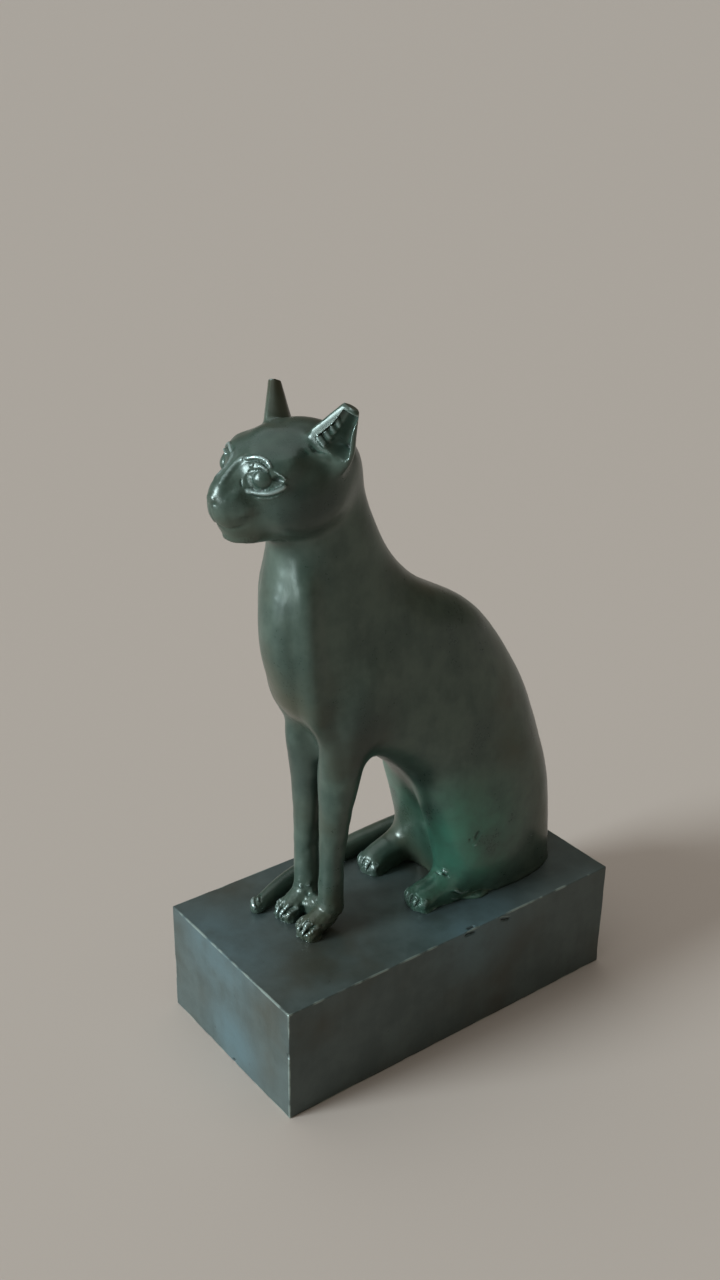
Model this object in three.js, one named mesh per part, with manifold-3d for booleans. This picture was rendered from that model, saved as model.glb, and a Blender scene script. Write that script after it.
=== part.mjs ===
// A seated cat in the ancient Egyptian manner, on a plain rectangular plinth.
// Units are millimetres. +Z is up, the cat faces -Y, and its left side is +X.
// The origin is the middle of the plinth's underside.
// The cat is a signed field of blended forms, turned into one closed mesh; the plinth is a block it stands on.

import * as THREE from "three";
import { mergeVertices } from "three/addons/utils/BufferGeometryUtils.js";
import { RoundedBoxGeometry } from "three/addons/geometries/RoundedBoxGeometry.js";
import Module from "manifold-3d";

const wasm = await Module();
wasm.setup();

// Driving dimensions of the plinth
const PLINTH = { width: 51, length: 100, height: 30, edge: 0.7 };
const TOP = PLINTH.height;

// Body profile: at each height, where the front and back lines run and how wide the body is
const BODY = [
  { z: 24, front: 12, back: 45.2, half: 15.7 },
  { z: 32, front: 11, back: 45.3, half: 16.3 },
  { z: 44, front: 9.5, back: 44.5, half: 16.5 },
  { z: 56, front: 5.4, back: 42.8, half: 16.8 },
  { z: 66, front: -2.6, back: 40.3, half: 16.5 },
  { z: 74, front: -12.1, back: 37.9, half: 16 },
  { z: 82, front: -24.6, back: 34.9, half: 15.3 },
  { z: 90, front: -33, back: 30.4, half: 14.1 },
  { z: 98, front: -36.9, back: 25, half: 12.9 },
  { z: 103, front: -38.6, back: 20.6, half: 12.3 },
  { z: 107, front: -39.2, back: 15.6, half: 11.8 },
  { z: 110.5, front: -39.3, back: 9.6, half: 11.3 },
  { z: 114, front: -39.2, back: 3.4, half: 10.8 },
  { z: 118, front: -38.5, back: -1.6, half: 10.3 },
  { z: 124, front: -36.6, back: -6.7, half: 9.6 },
  { z: 134, front: -34.1, back: -12.1, half: 9.2 },
  { z: 144, front: -30.4, back: -15.7, half: 7.8 },
  { z: 152, front: -26.7, back: -19.5, half: 3 },
];
const BODY_SQUARENESS = 2.4;

// How far the forms run on below the plinth's top before they are cut flat
const BURIED = 2;

// Smooth joining distances between forms
const BLEND = { body: 6, limb: 4, head: 3, detail: 1.2 };

const clamp = (v, low, high) => Math.min(high, Math.max(low, v));

// Joins two fields, with a fillet about k wide where they meet.
function join(a, b, k) {
  const h = Math.max(k - Math.abs(a - b), 0) / k;
  return Math.min(a, b) - (h * h * k) / 4;
}

// Catmull-Rom value of a named column of a station table at height z.
function along(stations, key, z) {
  let i = 0;
  while (i < stations.length - 2 && z > stations[i + 1].z) i++;
  const [p0, p1, p2, p3] = [i - 1, i, i + 1, i + 2].map((n) => stations[clamp(n, 0, stations.length - 1)]);
  const span = p2.z - p1.z;
  const t = clamp((z - p1.z) / span, 0, 1);
  const m1 = ((p2[key] - p0[key]) / (p2.z - p0.z)) * span;
  const m2 = ((p3[key] - p1[key]) / (p3.z - p1.z)) * span;
  const t2 = t * t;
  const t3 = t2 * t;
  return (2 * t3 - 3 * t2 + 1) * p1[key] + (t3 - 2 * t2 + t) * m1 + (3 * t2 - 2 * t3) * p2[key] + (t3 - t2) * m2;
}

// Field of an ellipsoid with centre c and half sizes r.
function ellipsoid(x, y, z, { centre: c, half: r }) {
  const [u, v, w] = [x - c[0], y - c[1], z - c[2]];
  const k0 = Math.hypot(u / r[0], v / r[1], w / r[2]);
  const k1 = Math.hypot(u / r[0] ** 2, v / r[1] ** 2, w / r[2] ** 2);
  return k1 < 1e-9 ? -Math.min(...r) : (k0 * (k0 - 1)) / k1;
}

// Field of a limb between two balls, each given as [x, y, z, radius].
function limb(x, y, z, a, b) {
  const [bx, by, bz] = [b[0] - a[0], b[1] - a[1], b[2] - a[2]];
  const [px, py, pz] = [x - a[0], y - a[1], z - a[2]];
  const t = clamp((px * bx + py * by + pz * bz) / (bx * bx + by * by + bz * bz), 0, 1);
  return Math.hypot(px - t * bx, py - t * by, pz - t * bz) - (a[3] + t * (b[3] - a[3]));
}

function body(x, y, z) {
  const top = BODY[BODY.length - 1].z;
  const zc = clamp(z, BODY[0].z, top);
  const front = along(BODY, "front", zc);
  const back = along(BODY, "back", zc);
  const half = along(BODY, "half", zc);
  const depth = (back - front) / 2;
  const u = Math.abs(x) / half;
  const v = Math.abs(y - (front + back) / 2) / depth;
  const g = (u ** BODY_SQUARENESS + v ** BODY_SQUARENESS) ** (1 / BODY_SQUARENESS);
  return Math.max((g - 1) * Math.min(half, depth), z - top);
}

const THIGH = { centre: [9.3, 23, 50.4], half: [8.3, 14.5, 23] };
// The front of the thigh, from the knee up to the flank, and how far the left one sits ahead of the right one
const KNEE = [
  [10.2, 15.2, 40, 6.9],
  [9.4, 10.2, 59, 7.4],
];
const STAGGER = 2.2;

// Each front leg is a run of balls from the shoulder to the ankle. The pair stands a little to the cat's right.
const LEG_SHIFT = 0.7;
const FRONT_LEG = [
  [6.4, -16, 97, 6.6],
  [6.8, -19, 86, 6.6],
  [6.1, -21.3, 75, 5.3],
  [5.4, -22.3, 62, 3.9],
  [5.2, -23.2, 48, 3],
  [4.9, -23, 38, 3.2],
];

function frontLeg(ax, y, z) {
  return Math.min(...FRONT_LEG.slice(1).map((ball, i) => limb(ax, y, z, FRONT_LEG[i], ball)));
}

const PAW = { heel: [4.8, -24.4, 34.2, 3.2], ball: [4.6, -28.4, 32, 3], tip: -30.4, spread: 1.6, toe: [1.05, 2.2, 1.9] };
const HIND_PAW = { heel: [10.6, 9, 33.4, 4.6], ball: [9.8, 0.5, 32, 3.7], tip: -1.4, spread: 2.1, toe: [1.3, 2.2, 1.9] };
const TOES = 4;

const SKULL = { centre: [0, -29.7, 145.9], half: [12.6, 14.4, 10.6] };
const CHEEK = { centre: [6.4, -32, 141], half: [6.6, 10, 7.2] };
const MUZZLE = [
  [0, -36, 141.4, 8.8],
  [0, -46, 141, 4.6],
];
const BRIDGE = [
  [0, -36.2, 150.5, 4.7],
  [0, -47.6, 144.8, 2.5],
];
const JAW = [
  [0, -32, 138.5, 6],
  [0, -41.3, 136.6, 4.7],
];
const CHIN = { centre: [0, -43.6, 136.2], half: [4.2, 4.2, 3.1] };
const BROW = [
  [4.2, -41.3, 150.7, 2],
  [8.8, -37, 150.5, 2.2],
];
const EYE_MOUND = { centre: [5.4, -39.2, 147.1], half: [4.4, 3.2, 3.4] };

function head(ax, y, z) {
  let d = join(ellipsoid(ax, y, z, SKULL), ellipsoid(ax, y, z, CHEEK), BLEND.head);
  d = join(d, limb(ax, y, z, ...MUZZLE), BLEND.head);
  d = join(d, limb(ax, y, z, ...BRIDGE), BLEND.head);
  d = join(d, limb(ax, y, z, ...JAW), BLEND.head);
  d = join(d, ellipsoid(ax, y, z, CHIN), BLEND.detail);
  d = join(d, limb(ax, y, z, ...BROW), BLEND.detail * 2);
  return join(d, ellipsoid(ax, y, z, EYE_MOUND), BLEND.detail * 2);
}

// The blended forms of the cat: negative inside, positive outside.
function cat(x, y, z) {
  const ax = Math.abs(x);
  const ahead = y + STAGGER * clamp(x / 8, -1, 1);
  const haunch = join(ellipsoid(ax, ahead, z, THIGH), limb(ax, ahead, z, ...KNEE), BLEND.limb);
  let d = join(body(x, y, z), haunch, BLEND.body);
  const lx = Math.abs(x + LEG_SHIFT);
  d = join(d, frontLeg(lx, y, z), BLEND.limb);
  d = join(d, limb(lx, y, z, PAW.heel, PAW.ball), BLEND.detail);
  d = join(d, limb(ax, y, z, HIND_PAW.heel, HIND_PAW.ball), BLEND.detail * 2);
  d = join(d, head(ax, y, z), BLEND.head);
  return Math.max(d, TOP - BURIED - z);
}

// Grid lines from low to high whose spacing is read from a list of [up to, step].
function gridLines(low, zones) {
  const lines = [low];
  for (const [end, step] of zones) {
    const start = lines[lines.length - 1];
    const count = Math.max(1, Math.round((end - start) / step));
    for (let i = 1; i <= count; i++) lines.push(start + ((end - start) * i) / count);
  }
  return lines;
}

// Closed mesh of the surface where field is zero, one vertex to each grid cell that the surface crosses.
function surfaceOf(field, xs, ys, zs) {
  const [nx, ny, nz] = [xs.length, ys.length, zs.length];
  const at = (i, j, k) => i + nx * (j + ny * k);
  const value = new Float64Array(nx * ny * nz);
  for (let k = 0; k < nz; k++)
    for (let j = 0; j < ny; j++) for (let i = 0; i < nx; i++) value[at(i, j, k)] = field(xs[i], ys[j], zs[k]);
  const corners = [0, 1, 2, 3, 4, 5, 6, 7].map((c) => [c & 1, (c >> 1) & 1, (c >> 2) & 1]);
  const edges = corners.flatMap((a, m) =>
    corners.flatMap((b, n) => (m < n && Math.abs(a[0] - b[0]) + Math.abs(a[1] - b[1]) + Math.abs(a[2] - b[2]) === 1 ? [[a, b]] : [])),
  );
  const vertexOf = new Map();
  const points = [];
  for (let k = 0; k + 1 < nz; k++)
    for (let j = 0; j + 1 < ny; j++)
      for (let i = 0; i + 1 < nx; i++) {
        const sum = [0, 0, 0];
        let crossed = 0;
        for (const [a, b] of edges) {
          const va = value[at(i + a[0], j + a[1], k + a[2])];
          const vb = value[at(i + b[0], j + b[1], k + b[2])];
          if (va < 0 === vb < 0) continue;
          const t = va / (va - vb);
          sum[0] += xs[i + a[0]] + t * (xs[i + b[0]] - xs[i + a[0]]);
          sum[1] += ys[j + a[1]] + t * (ys[j + b[1]] - ys[j + a[1]]);
          sum[2] += zs[k + a[2]] + t * (zs[k + b[2]] - zs[k + a[2]]);
          crossed++;
        }
        if (!crossed) continue;
        vertexOf.set(at(i, j, k), points.length);
        points.push(sum.map((s) => s / crossed));
      }
  const quads = [];
  const axes = [
    [1, 0, 0],
    [0, 1, 0],
    [0, 0, 1],
  ];
  for (let k = 1; k + 1 < nz; k++)
    for (let j = 1; j + 1 < ny; j++)
      for (let i = 1; i + 1 < nx; i++) {
        axes.forEach((axis, n) => {
          const here = value[at(i, j, k)];
          const there = value[at(i + axis[0], j + axis[1], k + axis[2])];
          if (here < 0 === there < 0) return;
          const [u, v] = [axes[(n + 1) % 3], axes[(n + 2) % 3]];
          const cell = (a, b) => vertexOf.get(at(i - a * u[0] - b * v[0], j - a * u[1] - b * v[1], k - a * u[2] - b * v[2]));
          const quad = [cell(1, 1), cell(0, 1), cell(0, 0), cell(1, 0)];
          quads.push(here < 0 ? quad : quad.reverse());
        });
      }
  return { points, quads };
}

function slopeOf(field, p) {
  const e = 0.02;
  return [0, 1, 2].map((n) => {
    const [a, b] = [p.slice(), p.slice()];
    a[n] += e;
    b[n] -= e;
    return (field(...a) - field(...b)) / (2 * e);
  });
}

// Evens out the mesh and brings each vertex back onto the field's surface.
function relax(field, { points, quads }, rounds) {
  const near = points.map(() => new Set());
  for (const q of quads) q.forEach((v, n) => near[v].add(q[(n + 1) % 4]).add(q[(n + 3) % 4]));
  for (let round = 0; round < rounds; round++) {
    const moved = points.map((p, i) => {
      const ring = [...near[i]];
      return p.map((c, n) => 0.5 * c + (0.5 * ring.reduce((s, v) => s + points[v][n], 0)) / ring.length);
    });
    moved.forEach((p, i) => {
      const g = slopeOf(field, p);
      const step = clamp(field(...p) / Math.max(g[0] ** 2 + g[1] ** 2 + g[2] ** 2, 0.05), -0.6, 0.6);
      points[i] = p.map((c, n) => c - step * g[n]);
    });
  }
}

// Triangles of the quads, each split along its shorter diagonal.
function geometryOf({ points, quads }) {
  const far = (a, b) => Math.hypot(...points[a].map((c, n) => c - points[b][n]));
  const index = quads.flatMap(([a, b, c, d]) => (far(a, c) <= far(b, d) ? [a, b, c, a, c, d] : [a, b, d, b, c, d]));
  const geometry = new THREE.BufferGeometry();
  geometry.setAttribute("position", new THREE.Float32BufferAttribute(points.flat(), 3));
  geometry.setIndex(index);
  return geometry;
}

function solidOf(geometry) {
  const bare = geometry.clone();
  bare.deleteAttribute("normal");
  bare.deleteAttribute("uv");
  const merged = mergeVertices(bare, 1e-4);
  return new wasm.Manifold(
    new wasm.Mesh({
      numProp: 3,
      vertProperties: merged.attributes.position.array,
      triVerts: new Uint32Array(merged.index.array),
    }),
  );
}

function geometryOfSolid(solid) {
  const mesh = solid.getMesh();
  const geometry = new THREE.BufferGeometry();
  geometry.setAttribute("position", new THREE.BufferAttribute(mesh.vertProperties, 3));
  geometry.setIndex(new THREE.BufferAttribute(mesh.triVerts, 1));
  return geometry;
}

// Solid through rings of points. Each ring runs anticlockwise as seen from the first one.
// An open run of rings gets a cap at both ends; a closed one joins its last ring to its first.
function loft(rings, closed = false) {
  const count = rings[0].length;
  const middle = (ring) => ring.reduce((sum, p) => sum.add(p), new THREE.Vector3()).divideScalar(count);
  const points = closed ? rings.flat() : [...rings.flat(), middle(rings[0]), middle(rings[rings.length - 1])];
  const last = rings.length - 1;
  const index = [];
  for (let n = 0; n < count; n++) {
    const next = (n + 1) % count;
    for (let r = 0; r < (closed ? last + 1 : last); r++) {
      const [here, there] = [r * count, ((r + 1) % rings.length) * count];
      index.push(here + n, there + next, here + next, here + n, there + n, there + next);
    }
    if (!closed) index.push(points.length - 2, n, next, points.length - 1, last * count + next, last * count + n);
  }
  const geometry = new THREE.BufferGeometry().setFromPoints(points);
  geometry.setIndex(index);
  return solidOf(geometry);
}

const steps = (count) => Array.from({ length: count + 1 }, (_, n) => n / count);
const mix = (a, b, t) => a + (b - a) * t;

// An ear is a horn with a D-shaped section, flat on the side that faces forwards and out, and scooped out there.
// Its shape table runs from the root at 0 to the tip at 1.
const EAR = {
  tip: new THREE.Vector3(13.9, -25.7, 161.5),
  up: new THREE.Vector3(0.296, 0.35, 0.889),
  out: new THREE.Vector3(0.62, -0.77, 0.15),
  length: 16,
  shape: [
    { z: 0, wide: 2.4, deep: 6 },
    { z: 0.25, wide: 4.6, deep: 6.4 },
    { z: 0.45, wide: 5.1, deep: 5.6 },
    { z: 0.7, wide: 3.7, deep: 4 },
    { z: 1, wide: 1.8, deep: 2 },
  ],
  front: 0.8,
  rim: 0.9,
  scoop: { from: 0.22, to: 0.94, deep: 0.62, past: 3 },
};

// Rings of an ear's section between two shares of its length. Shrink narrows it; deep and front set its two sides.
function earRings(from, to, shrink, deep, front, side) {
  const up = EAR.up.clone().normalize();
  const out = EAR.out.clone().addScaledVector(up, -EAR.out.dot(up)).normalize();
  const across = new THREE.Vector3().crossVectors(up, out);
  return steps(7).map((share) => {
    const t = mix(from, to, share);
    const centre = EAR.tip.clone().addScaledVector(up, (t - 1) * EAR.length);
    const wide = along(EAR.shape, "wide", t) - shrink;
    const back = along(EAR.shape, "deep", t) * deep;
    const ring = steps(14).slice(1).map((turn) => {
      const angle = 2 * Math.PI * turn;
      const p = centre.clone().addScaledVector(across, Math.cos(angle) * wide);
      p.addScaledVector(out, Math.sin(angle) * (Math.sin(angle) > 0 ? front : back));
      p.x *= side;
      return p;
    });
    return side > 0 ? ring : ring.reverse();
  });
}

function withEars(solid) {
  const { from, to, deep, past } = EAR.scoop;
  for (const side of [1, -1]) {
    solid = solid.add(loft(earRings(0, 1, 0, 1, EAR.front, side)));
    solid = solid.subtract(loft(earRings(from, to, EAR.rim, deep, past, side)));
  }
  return solid;
}

// An eye is an oval bump inside an almond-shaped rim that lies on the face. Its place and aim are the left eye's.
const EYE = {
  centre: new THREE.Vector3(6.4, -41.8, 147.5),
  out: new THREE.Vector3(0.62, -0.74, 0.26),
  half: [2.8, 2, 1.3],
  sunk: 0.3,
  rim: { wide: 4.4, high: 3, thick: 0.5, point: 0.4 },
};
const SEARCH = 4;

// How far the surface of a field lies from a point along a direction, found by halving.
function surfaceDepth(field, point, direction) {
  let [low, high] = [-SEARCH, SEARCH];
  for (let n = 0; n < 20; n++) {
    const middle = (low + high) / 2;
    if (field(...point.clone().addScaledVector(direction, middle)) < 0) low = middle;
    else high = middle;
  }
  return low;
}

// The ball and the rim of one eye, on the side given by 1 or -1.
function eyePieces(side) {
  const out = EYE.out.clone().normalize();
  const across = new THREE.Vector3(0, 0, 1).cross(out).normalize();
  const up = new THREE.Vector3().crossVectors(out, across);
  const onSide = (p) => new THREE.Vector3(side * p.x, p.y, p.z);
  const at = (x, y) => EYE.centre.clone().addScaledVector(across, x).addScaledVector(up, y);
  const { wide, high, thick, point } = EYE.rim;
  const rings = steps(16).slice(1).map((turn) => {
    const angle = 2 * Math.PI * turn;
    const rise = Math.sin(angle) * Math.abs(Math.sin(angle)) ** point;
    const spot = at(Math.cos(angle) * wide, rise * high);
    spot.addScaledVector(out, surfaceDepth(cat, spot, out));
    const aside = at(Math.cos(angle), Math.sin(angle)).sub(EYE.centre);
    const ring = steps(5).slice(1).map((around) => {
      const tilt = 2 * Math.PI * around;
      const p = spot.clone().addScaledVector(aside, Math.cos(tilt) * thick);
      return onSide(p.addScaledVector(out, Math.sin(tilt) * thick));
    });
    return side > 0 ? ring : ring.reverse();
  });
  const depth = surfaceDepth(cat, EYE.centre, out) - EYE.sunk;
  const middle = EYE.centre.clone().addScaledVector(out, depth);
  const ball = new THREE.SphereGeometry(1, 12, 6).scale(...EYE.half);
  const flipped = across.clone().multiplyScalar(side);
  ball.applyMatrix4(new THREE.Matrix4().makeBasis(onSide(flipped), onSide(up), onSide(out)).setPosition(onSide(middle)));
  return [solidOf(ball), loft(rings, true)];
}

// How far the outer toes are set back, and how high the toes' middles are above the plinth
const TOE = { back: 0.45, rise: 1.5 };

// Four toes side by side at the front of a paw, the outer ones set back.
function toes(paw, side, shift) {
  return steps(TOES - 1).map((share) => {
    const place = (share - 0.5) * (TOES - 1);
    const toe = new THREE.SphereGeometry(1, 8, 5);
    toe.scale(...paw.toe);
    const x = side * (paw.ball[0] + place * paw.spread) - shift;
    toe.translate(x, paw.tip + TOE.back * place * place, TOP + TOE.rise);
    return solidOf(toe);
  });
}

// The tail leaves the rump and lies round the cat's right side to its front paws: [x, y, height, radius]
const TAIL = [
  [-6, 41, 3, 4],
  [-14, 36, 2.6, 3.6],
  [-18.4, 24, 2.2, 3.2],
  [-19.2, 8, 2, 3],
  [-18.2, -8, 1.8, 2.7],
  [-15.8, -22, 1.6, 2.4],
  [-11.2, -34, 1.4, 2],
];
// The share of the tail over which its tip narrows, and how far past the tip it would close
const TAIL_TIP = { share: 0.06, past: 0.02 };

function tail() {
  const curve = new THREE.CatmullRomCurve3(TAIL.map(([x, y, rise]) => new THREE.Vector3(x, y, TOP + rise)));
  const girth = new THREE.CatmullRomCurve3(TAIL.map(([, , , radius]) => new THREE.Vector3(radius, 0, 0)));
  const rings = steps(18).map((t) => {
    const ahead = curve.getTangent(t);
    const aside = new THREE.Vector3(ahead.y, -ahead.x, 0).normalize();
    const above = new THREE.Vector3().crossVectors(aside, ahead);
    const left = (1 + TAIL_TIP.past - t) / TAIL_TIP.share;
    const radius = girth.getPoint(t).x * Math.sqrt(Math.min(1, left));
    return steps(10).slice(1).map((turn) => {
      const p = curve.getPoint(t).addScaledVector(aside, Math.cos(2 * Math.PI * turn) * radius);
      return p.addScaledVector(above, Math.sin(2 * Math.PI * turn) * radius);
    });
  });
  return loft(rings);
}

// The cat, cut flat where it stands on the plinth.
function catGeometry() {
  const xs = gridLines(-22, [
    [-9, 3.25],
    [9, 2.3],
    [22, 3.25],
  ]);
  const ys = gridLines(-55, [
    [-16, 2.2],
    [12, 3.2],
    [52, 4.8],
  ]);
  const zs = gridLines(26, [
    [36, 1.7],
    [128, 5],
    [160, 1.9],
  ]);
  const mesh = surfaceOf(cat, xs, ys, zs);
  relax(cat, mesh, 4);
  let solid = withEars(solidOf(geometryOf(mesh)));
  for (const side of [1, -1]) {
    const details = [...eyePieces(side), ...toes(PAW, side, LEG_SHIFT), ...toes(HIND_PAW, side, 0)];
    for (const detail of details) solid = solid.add(detail);
  }
  const below = new THREE.BoxGeometry(200, 200, TOP);
  below.translate(0, 0, TOP / 2);
  return geometryOfSolid(solid.add(tail()).subtract(solidOf(below)));
}

const bronze = new THREE.MeshStandardMaterial({ color: 0x35463d, roughness: 0.42, metalness: 0.6 });
const blockBronze = new THREE.MeshStandardMaterial({ color: 0x39483f, roughness: 0.5, metalness: 0.6 });

const statue = new THREE.Group();

const figure = new THREE.Mesh(catGeometry(), bronze);
figure.name = "seated_cat";
statue.add(figure);

const block = new THREE.Mesh(
  new RoundedBoxGeometry(PLINTH.width, PLINTH.length, PLINTH.height, 1, PLINTH.edge),
  blockBronze,
);
block.name = "plinth";
block.position.z = PLINTH.height / 2;
statue.add(block);

export default statue;
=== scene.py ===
"""The finished look of a seated Egyptian cat on its block plinth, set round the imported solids.

Sizes in the classes are millimetres in the part's own frame: +Z is up, the cat faces -Y and its left side
is +X. They become metres where a mesh or a lamp is made.
"""

import logging
import math
from collections.abc import Iterator
from contextlib import contextmanager
from dataclasses import dataclass
from enum import Enum

import bpy
import numpy as np
from mathutils import Matrix, Vector
from mathutils.bvhtree import BVHTree


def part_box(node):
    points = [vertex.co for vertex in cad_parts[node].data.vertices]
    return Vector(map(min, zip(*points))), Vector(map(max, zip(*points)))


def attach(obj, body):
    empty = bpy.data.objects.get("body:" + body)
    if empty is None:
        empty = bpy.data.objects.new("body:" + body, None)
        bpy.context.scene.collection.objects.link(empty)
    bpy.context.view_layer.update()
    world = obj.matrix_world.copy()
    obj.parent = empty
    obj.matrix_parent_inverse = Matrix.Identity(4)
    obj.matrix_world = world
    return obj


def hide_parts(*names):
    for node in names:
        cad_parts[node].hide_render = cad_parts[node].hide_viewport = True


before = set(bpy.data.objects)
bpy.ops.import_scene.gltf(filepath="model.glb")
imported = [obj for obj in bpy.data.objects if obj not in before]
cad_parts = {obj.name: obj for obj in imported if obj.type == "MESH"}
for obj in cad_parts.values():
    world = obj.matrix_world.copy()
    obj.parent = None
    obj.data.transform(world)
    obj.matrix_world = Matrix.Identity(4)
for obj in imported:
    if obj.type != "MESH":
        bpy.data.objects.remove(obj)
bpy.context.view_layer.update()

MM = 0.001
BOTH_SIDES = (1, -1)
FLAT_TOLERANCE = 0.01
CUT_TOLERANCE = 1e-7
# Bends in 1/mm between which a ridge goes from painted to worn, its pale colour also a painted highlight, and
# a hollow from clean to grimy.
RIDGE_BEND = (0.45, 1.7)
HOLLOW_BEND = (0.1, 0.8)
SEEDED = {"noise_dimensions": "4D"}
LOG = logging.getLogger("statue")

Point = tuple[float, float, float]
Spot = tuple[float, float]
Zone = tuple[Point, Point]
# A mark's path, width, height, and how pale it is painted as wear and painted highlight.
Mark = tuple[tuple[Point, ...], float, float, float]


def unit(vector: Point) -> np.ndarray:
    """A vector scaled to length one."""
    return np.array(vector, float) / np.linalg.norm(vector)


def ease(value: np.ndarray, low: float, high: float) -> np.ndarray:
    """A smooth step from 0 at low to 1 at high; it falls where low is above high."""
    t = np.clip((value - low) / (high - low), 0, 1)
    return t * t * (3 - 2 * t)


def flowing(stations: np.ndarray, t: np.ndarray) -> np.ndarray:
    """A smooth curve through rows of stations.

    Args:
        stations: rows whose first column is the position along the curve.
        t: the positions to read.

    Returns:
        One row of the other columns for each position.
    """
    table = np.array(stations, float)
    spots, values = table[:, 0], table[:, 1:]
    slopes = np.gradient(values, spots, axis=0, edge_order=1)
    i = np.clip(np.searchsorted(spots, t, side="right") - 1, 0, len(spots) - 2)
    span = (spots[i + 1] - spots[i])[:, None]
    s = np.clip((t - spots[i])[:, None] / span, 0, 1)
    a, b = values[i], values[i + 1]
    pull_a, pull_b = slopes[i] * span, slopes[i + 1] * span
    cubic = (2 * s**3 - 3 * s**2 + 1) * a + (s**3 - 2 * s**2 + s) * pull_a
    return cubic + (3 * s**2 - 2 * s**3) * b + (s**3 - s**2) * pull_b


def wander(points: np.ndarray, size: float, seed: int) -> np.ndarray:
    """Smooth noise from -1 to 1, the same on every run.

    Args:
        points: the places to read.
        size: about how far across its lumps are.
        seed: a whole number that picks the pattern.

    Returns:
        One number for each place.
    """
    place = points / size + seed * 17.31
    cell = np.floor(place).astype(np.int64)
    part = place - cell
    blend = part**3 * (part * (part * 6 - 15) + 10)
    total = np.zeros(len(points))
    for corner in np.ndindex(2, 2, 2):
        x, y, z = (cell[:, axis] + corner[axis] for axis in range(3))
        mixed = (x * 73856093) ^ (y * 19349663) ^ (z * 83492791) ^ (seed * 2654435761)
        mixed = (mixed ^ (mixed >> 13)) * 1274126177
        lattice = ((mixed ^ (mixed >> 16)) & 0xFFFF) / 0x7FFF - 1
        share = np.ones(len(points))
        for axis in range(3):
            share *= blend[:, axis] if corner[axis] else 1 - blend[:, axis]
        total += lattice * share
    return total


def select_only(*pieces: bpy.types.Object) -> None:
    """Selects these objects and no other, and makes the first one active."""
    bpy.ops.object.select_all(action="DESELECT")
    for piece in pieces:
        piece.select_set(True)
    bpy.context.view_layer.objects.active = pieces[0]


@contextmanager
def editing(piece: bpy.types.Object) -> Iterator[None]:
    """Opens a piece for edit operators with all of it selected, and closes it again with none selected.

    Args:
        piece: the object to edit.

    Yields:
        Once, while the piece is open.
    """
    select_only(piece)
    bpy.ops.object.mode_set(mode="EDIT")
    bpy.ops.mesh.select_all(action="SELECT")
    yield
    bpy.ops.mesh.select_all(action="DESELECT")
    bpy.ops.object.mode_set(mode="OBJECT")


def finish_with(piece: bpy.types.Object, kind: str, **settings: object) -> None:
    """Adds a modifier and applies it.

    Args:
        piece: the object to change.
        kind: the modifier's type.
        settings: its properties.
    """
    select_only(piece)
    modifier = piece.modifiers.new(kind.lower(), kind)
    for name, value in settings.items():
        setattr(modifier, name, value)
    bpy.ops.object.modifier_apply(modifier=modifier.name)


def combine(piece: bpy.types.Object, tool: bpy.types.Object, operation: str) -> None:
    """Adds a solid to a piece or cuts it away, and removes the solid's own object.

    Args:
        piece: the object to change.
        tool: the solid.
        operation: UNION or DIFFERENCE.
    """
    finish_with(piece, "BOOLEAN", operation=operation, object=tool, solver="EXACT")
    bpy.data.objects.remove(tool)


def packed_box(node: str) -> tuple[np.ndarray, np.ndarray]:
    """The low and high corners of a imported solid, in millimetres."""
    low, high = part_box(node)
    return np.array(low) / MM, np.array(high) / MM


def joined(pieces: list[bpy.types.Object]) -> bpy.types.Object:
    """Joins pieces.

    Args:
        pieces: the objects to join.

    Returns:
        The first of them, which now holds them all.
    """
    select_only(*pieces)
    bpy.ops.object.join()
    return pieces[0]


def from_faces(name: str, points: np.ndarray, faces: list[tuple[int, ...]]) -> bpy.types.Object:
    """A new object with its own mesh.

    Args:
        name: the object's name.
        points: the mesh's points.
        faces: each face's point numbers.

    Returns:
        The new object.
    """
    mesh = bpy.data.meshes.new(name)
    mesh.from_pydata((np.asarray(points) * MM).tolist(), [], faces)
    piece = bpy.data.objects.new(name, mesh)
    bpy.context.scene.collection.objects.link(piece)
    return piece


def lofted(name: str, rings: np.ndarray) -> bpy.types.Object:
    """A closed solid through rings of points, with a fan of faces over each end.

    Args:
        name: the object's name.
        rings: an array of rings by points by three.

    Returns:
        The new object, with its faces pointing out.
    """
    turns, count = rings.shape[:2]
    ends = [rings[0].mean(axis=0), rings[-1].mean(axis=0)]
    points = np.vstack([rings.reshape(-1, 3), ends])
    faces = []
    for n in range(count):
        following = (n + 1) % count
        for r in range(turns - 1):
            here, there = r * count, (r + 1) * count
            faces.append((here + n, here + following, there + following, there + n))
        last = (turns - 1) * count
        faces.append((turns * count, following, n))
        faces.append((turns * count + 1, last + n, last + following))
    piece = from_faces(name, points, faces)
    with editing(piece):
        bpy.ops.mesh.normals_make_consistent(inside=False)
    return piece


def evenly(table: np.ndarray, step: float, fewest: int) -> np.ndarray:
    """A smooth curve through rows whose first three columns are a place, read at even steps.

    Args:
        table: the rows.
        step: about how far apart the places read are.
        fewest: the smallest number of places.

    Returns:
        Rows with the same columns.
    """
    travel = np.concatenate([[0], np.cumsum(np.linalg.norm(np.diff(table[:, :3], axis=0), axis=1))])
    count = max(fewest, round(travel[-1] / step))
    return flowing(np.column_stack([travel, table]), np.linspace(0, travel[-1], count))


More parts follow.
